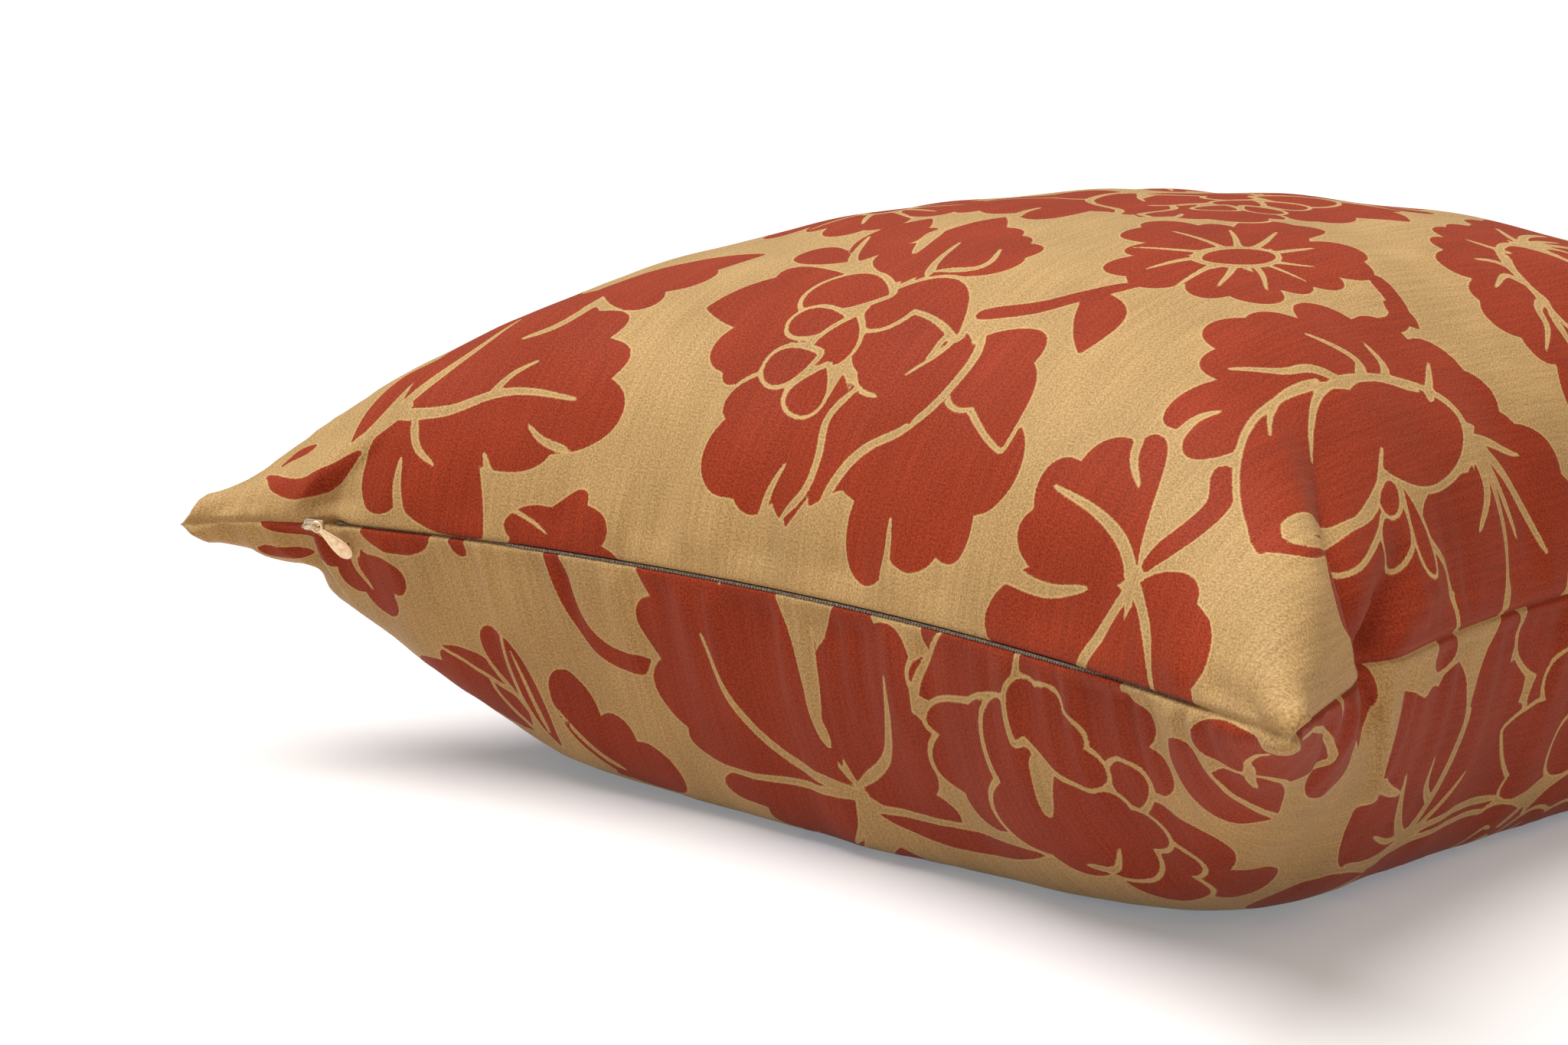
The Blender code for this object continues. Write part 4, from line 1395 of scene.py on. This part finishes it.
# Shares of the grain and the slubs in the colour, and of all that stands up in the relief
GRAIN_TINT = 0.82
SLUB_TINT = 0.18
GRAIN_RELIEF = 0.38
RIB_RELIEF = 0.25
SLUB_RELIEF = 0.35
RED_RELIEF = 0.9

# Roughness of the gold, and how much rougher the red is
GOLD_ROUGH = 0.46
RED_ROUGHER = 0.08
CLOTH_SHEEN = {
    "Sheen Weight": 0.05,
    "Sheen Roughness": 0.40,
    "Sheen Tint": (1.0, 0.85, 0.55, 1.0),
    "Specular IOR Level": 0.07,
    "Specular Tint": (1.0, 0.88, 0.66, 1.0),
}


def cloth_material():
    """Return the gold satin with its woven brick-red pattern."""
    material, tree, shader = new_material("cover_cloth_satin")
    lay = add_node(tree, "ShaderNodeUVMap", (("uv_map", "OFBake"),)).outputs[0]
    lay_to_mm = 2 * HALF_CLOTH / LAY_SIZE
    mm = stretched(tree, lay, (lay_to_mm, lay_to_mm, 1.0))
    ink = add_node(tree, "ShaderNodeAttribute", (("attribute_name", "ink"),)).outputs["Fac"]
    rag = scaled(tree, noise(tree, mm, scale=1.3), EDGE_RAG, -0.5 * EDGE_RAG)
    red = ranged(tree, added(tree, ink, rag), -EDGE_SOFT, EDGE_SOFT)

    grain = ranged(tree, noise(tree, mm, scale=1.5, roughness=0.7), *GRAIN_CUT)
    slub = ranged(tree, noise(tree, stretched(tree, mm, SLUB_STRETCH), scale=1.0), *SLUB_CUT)
    thread = scaled(tree, grain, GRAIN_TINT, scaled(tree, slub, SLUB_TINT))
    gold = mixed(tree, thread, GOLD_DARK, GOLD)
    to_line = (("operation", "ABSOLUTE"),)
    to_line = add_node(tree, "ShaderNodeMath", to_line, i0=added(tree, ink, EDGE_LINE)).outputs[0]
    line = ranged(tree, to_line, 0.0, EDGE_LINE, EDGE_SHARE, 0.0)
    colour = mixed(tree, red, mixed(tree, line, gold, GOLD_EDGE), mixed(tree, thread, RED_DARK, RED))
    tone = ranged(tree, noise(tree, mm, scale=0.035), *CLOUD_RANGE)
    colour = add_node(tree, "ShaderNodeHueSaturation", Value=tone, Color=colour).outputs[0]

    bands = (("wave_type", "BANDS"), ("bands_direction", "DIAGONAL"))
    ribs = add_node(tree, "ShaderNodeTexWave", bands, Vector=mm, Scale=0.62, Distortion=0.6).outputs["Fac"]
    height = scaled(tree, ribs, RIB_RELIEF, scaled(tree, grain, GRAIN_RELIEF))
    height = scaled(tree, red, RED_RELIEF, scaled(tree, slub, SLUB_RELIEF, height))
    rough = scaled(tree, red, RED_ROUGHER, GOLD_ROUGH)
    link_surface(tree, shader, colour, rough, height, depth=0.12, strength=0.8)
    set_inputs(shader, CLOTH_SHEEN)
    return material


def object_mm(tree):
    """Return an object's own places in millimetres."""
    return stretched(tree, add_node(tree, "ShaderNodeTexCoord").outputs["Object"], (1.0 / MM,) * 3)


# Tape: its thread's colours, dull and rubbed, where the flecks are cut off, and its roughness
TAPE_DULL = (0.15, 0.12, 0.09, 1.0)
TAPE_RUBBED = (0.38, 0.30, 0.22, 1.0)
FLECK_CUT = (0.45, 0.70)
TAPE_ROUGH = 0.50
TAPE_ROUGHER = 0.25


def tape_material():
    """Return the grey-taupe thread of the zip tape, flecked where it has rubbed."""
    material, tree, shader = new_material("zip_tape_thread")
    mm = object_mm(tree)
    fleck = ranged(tree, noise(tree, mm, scale=1.6), *FLECK_CUT)
    thread = noise(tree, mm, scale=3.5)
    rough = scaled(tree, thread, TAPE_ROUGHER, TAPE_ROUGH)
    colour = mixed(tree, fleck, TAPE_DULL, TAPE_RUBBED)
    link_surface(tree, shader, colour, rough, thread, depth=0.08, strength=0.7)
    set_inputs(shader, {"Specular IOR Level": 0.3})
    return material


# Metals: bright and dull colour, metallic share and least roughness. Where their dull patches
# are cut off, and how much rougher patches and rubbing marks are.
PULL_LACQUER = ((0.86, 0.66, 0.42, 1.0), (0.72, 0.47, 0.25, 1.0), 0.55, 0.22)
SLIDER_BRASS = ((0.74, 0.62, 0.44, 1.0), (0.50, 0.38, 0.24, 1.0), 1.0, 0.26)
PATCH_CUT = (0.40, 0.65)
PATCH_ROUGHER = 0.16
MARK_ROUGHER = 0.10


def metal_material(name, bright, dull, metallic, roughness):
    """Return a metal finish with dull patches and fine rubbing marks."""
    material, tree, shader = new_material(name)
    mm = object_mm(tree)
    patch = ranged(tree, noise(tree, mm, scale=0.6, detail=3.0), *PATCH_CUT)
    marks = noise(tree, mm, scale=5.0, roughness=0.6)
    rough = scaled(tree, marks, MARK_ROUGHER, scaled(tree, patch, PATCH_ROUGHER, roughness))
    link_surface(tree, shader, mixed(tree, patch, bright, dull), rough, marks, depth=0.02, strength=0.5)
    set_inputs(shader, {"Metallic": metallic})
    return material


def finish_slider(material):
    """Give the CAD slider its metal finish."""
    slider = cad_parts["zip_slider"]
    slider.data.materials.clear()
    slider.data.materials.append(material)


# Camera, fitted to the cushion's outline in the photograph: its angles in degrees, its distance
# from a target over the floor, how far it is moved to the right and up from there, and its lens
CAMERA_AZIMUTH = 45.08
CAMERA_ELEVATION = 10.14
CAMERA_ROLL = 0.227
CAMERA_DISTANCE = 1.0266
CAMERA_TARGET = (0.0, 0.0, 0.08)
CAMERA_RIGHT = -0.1107
CAMERA_UP = -0.0072
CAMERA_LENS = 78.07
SENSOR_WIDTH = 36.0
VIEW_END = 60.0


def add_camera():
    """Put the camera at the photograph's angle."""
    azimuth = math.radians(CAMERA_AZIMUTH)
    elevation = math.radians(CAMERA_ELEVATION)
    roll = math.radians(CAMERA_ROLL)
    back = Vector((
        math.sin(azimuth) * math.cos(elevation),
        -math.cos(azimuth) * math.cos(elevation),
        math.sin(elevation),
    ))
    right = Vector((math.cos(azimuth), math.sin(azimuth), 0.0))
    up = back.cross(right)
    place = Vector(CAMERA_TARGET) + CAMERA_RIGHT * right + CAMERA_UP * up + CAMERA_DISTANCE * back
    level = math.cos(roll) * right + math.sin(roll) * up
    upright = math.cos(roll) * up - math.sin(roll) * right
    data = bpy.data.cameras.new("camera")
    data.sensor_width = SENSOR_WIDTH
    data.sensor_fit = "HORIZONTAL"
    data.lens = CAMERA_LENS
    data.clip_end = VIEW_END
    camera = add_object("camera", data)
    turn = Matrix((level, upright, back)).transposed().to_4x4()
    camera.matrix_world = Matrix.Translation(place) @ turn
    bpy.context.scene.camera = camera


# Floor: its size, how far it lies under the cushion, and its plain, faintly lit finish
FLOOR_HALF = 30.0
FLOOR_DROP = 0.0004
FLOOR_FINISH = {
    "Base Color": (0.57, 0.48, 0.40, 1.0),
    "Roughness": 0.9,
    "Specular IOR Level": 0.0,
    "Emission Color": (0.84, 0.96, 1.05, 1.0),
    "Emission Strength": 0.22,
}


def add_floor():
    """Lay a plain pale floor."""
    mesh = bpy.data.meshes.new("floor")
    corners = ((-1, -1), (1, -1), (1, 1), (-1, 1))
    places = [(x * FLOOR_HALF, y * FLOOR_HALF, -FLOOR_DROP) for x, y in corners]
    mesh.from_pydata(places, [], [(0, 1, 2, 3)])
    floor = add_object("floor", mesh)
    material, _, shader = new_material("floor_white")
    set_inputs(shader, FLOOR_FINISH)
    mesh.materials.append(material)


# Lights: direction, strength, width in degrees and colour of the two softboxes, and the white
# room's light from level to overhead, its brightness as seen, and its colour
SOFTBOX = ((-0.17, -0.27, 0.95), 4.65, 46.0, (0.89, 1.0, 1.18))
SIDE_SOFTBOX = ((0.75, -0.15, 0.65), 0.65, 60.0, (1.0, 0.84, 0.70))
ROOM_LIGHT = (0.06, 0.55)
ROOM_HEIGHT = 0.8
ROOM_SEEN = 1.05
ROOM_COLOUR = (0.96, 0.98, 1.0, 1.0)


def add_softbox(name, towards, strength, spread, colour):
    """Add a soft light that comes from one direction, as wide as a large softbox."""
    data = bpy.data.lights.new(name, "SUN")
    data.energy = strength
    data.angle = math.radians(spread)
    data.color = colour
    add_object(name, data).rotation_euler = Vector(towards).to_track_quat("Z", "Y").to_euler()


def add_studio():
    """Light the cushion softly from above and its left, in a white room."""
    world = bpy.data.worlds.new("studio")
    world.use_nodes = True
    tree = world.node_tree
    background = tree.nodes["Background"]
    background.inputs["Color"].default_value = ROOM_COLOUR
    skywards = add_node(tree, "ShaderNodeTexCoord").outputs[0]
    height = add_node(tree, "ShaderNodeSeparateXYZ", Vector=skywards).outputs["Z"]
    lit = ranged(tree, height, 0.0, ROOM_HEIGHT, *ROOM_LIGHT)
    seen = add_node(tree, "ShaderNodeLightPath").outputs["Is Camera Ray"]
    tree.links.new(ranged(tree, seen, 0.0, 1.0, lit, ROOM_SEEN), background.inputs["Strength"])
    bpy.context.scene.world = world
    add_softbox("softbox", *SOFTBOX)
    add_softbox("side_softbox", *SIDE_SOFTBOX)
    bpy.context.scene.view_settings.view_transform = "Standard"


build_cushion().data.materials.append(cloth_material())
build_zip_tape().data.materials.append(tape_material())
build_pull().data.materials.append(metal_material("pull_lacquer", *PULL_LACQUER))
finish_slider(metal_material("slider_brass", *SLIDER_BRASS))
add_camera()
add_floor()
add_studio()
bpy.context.view_layer.update()
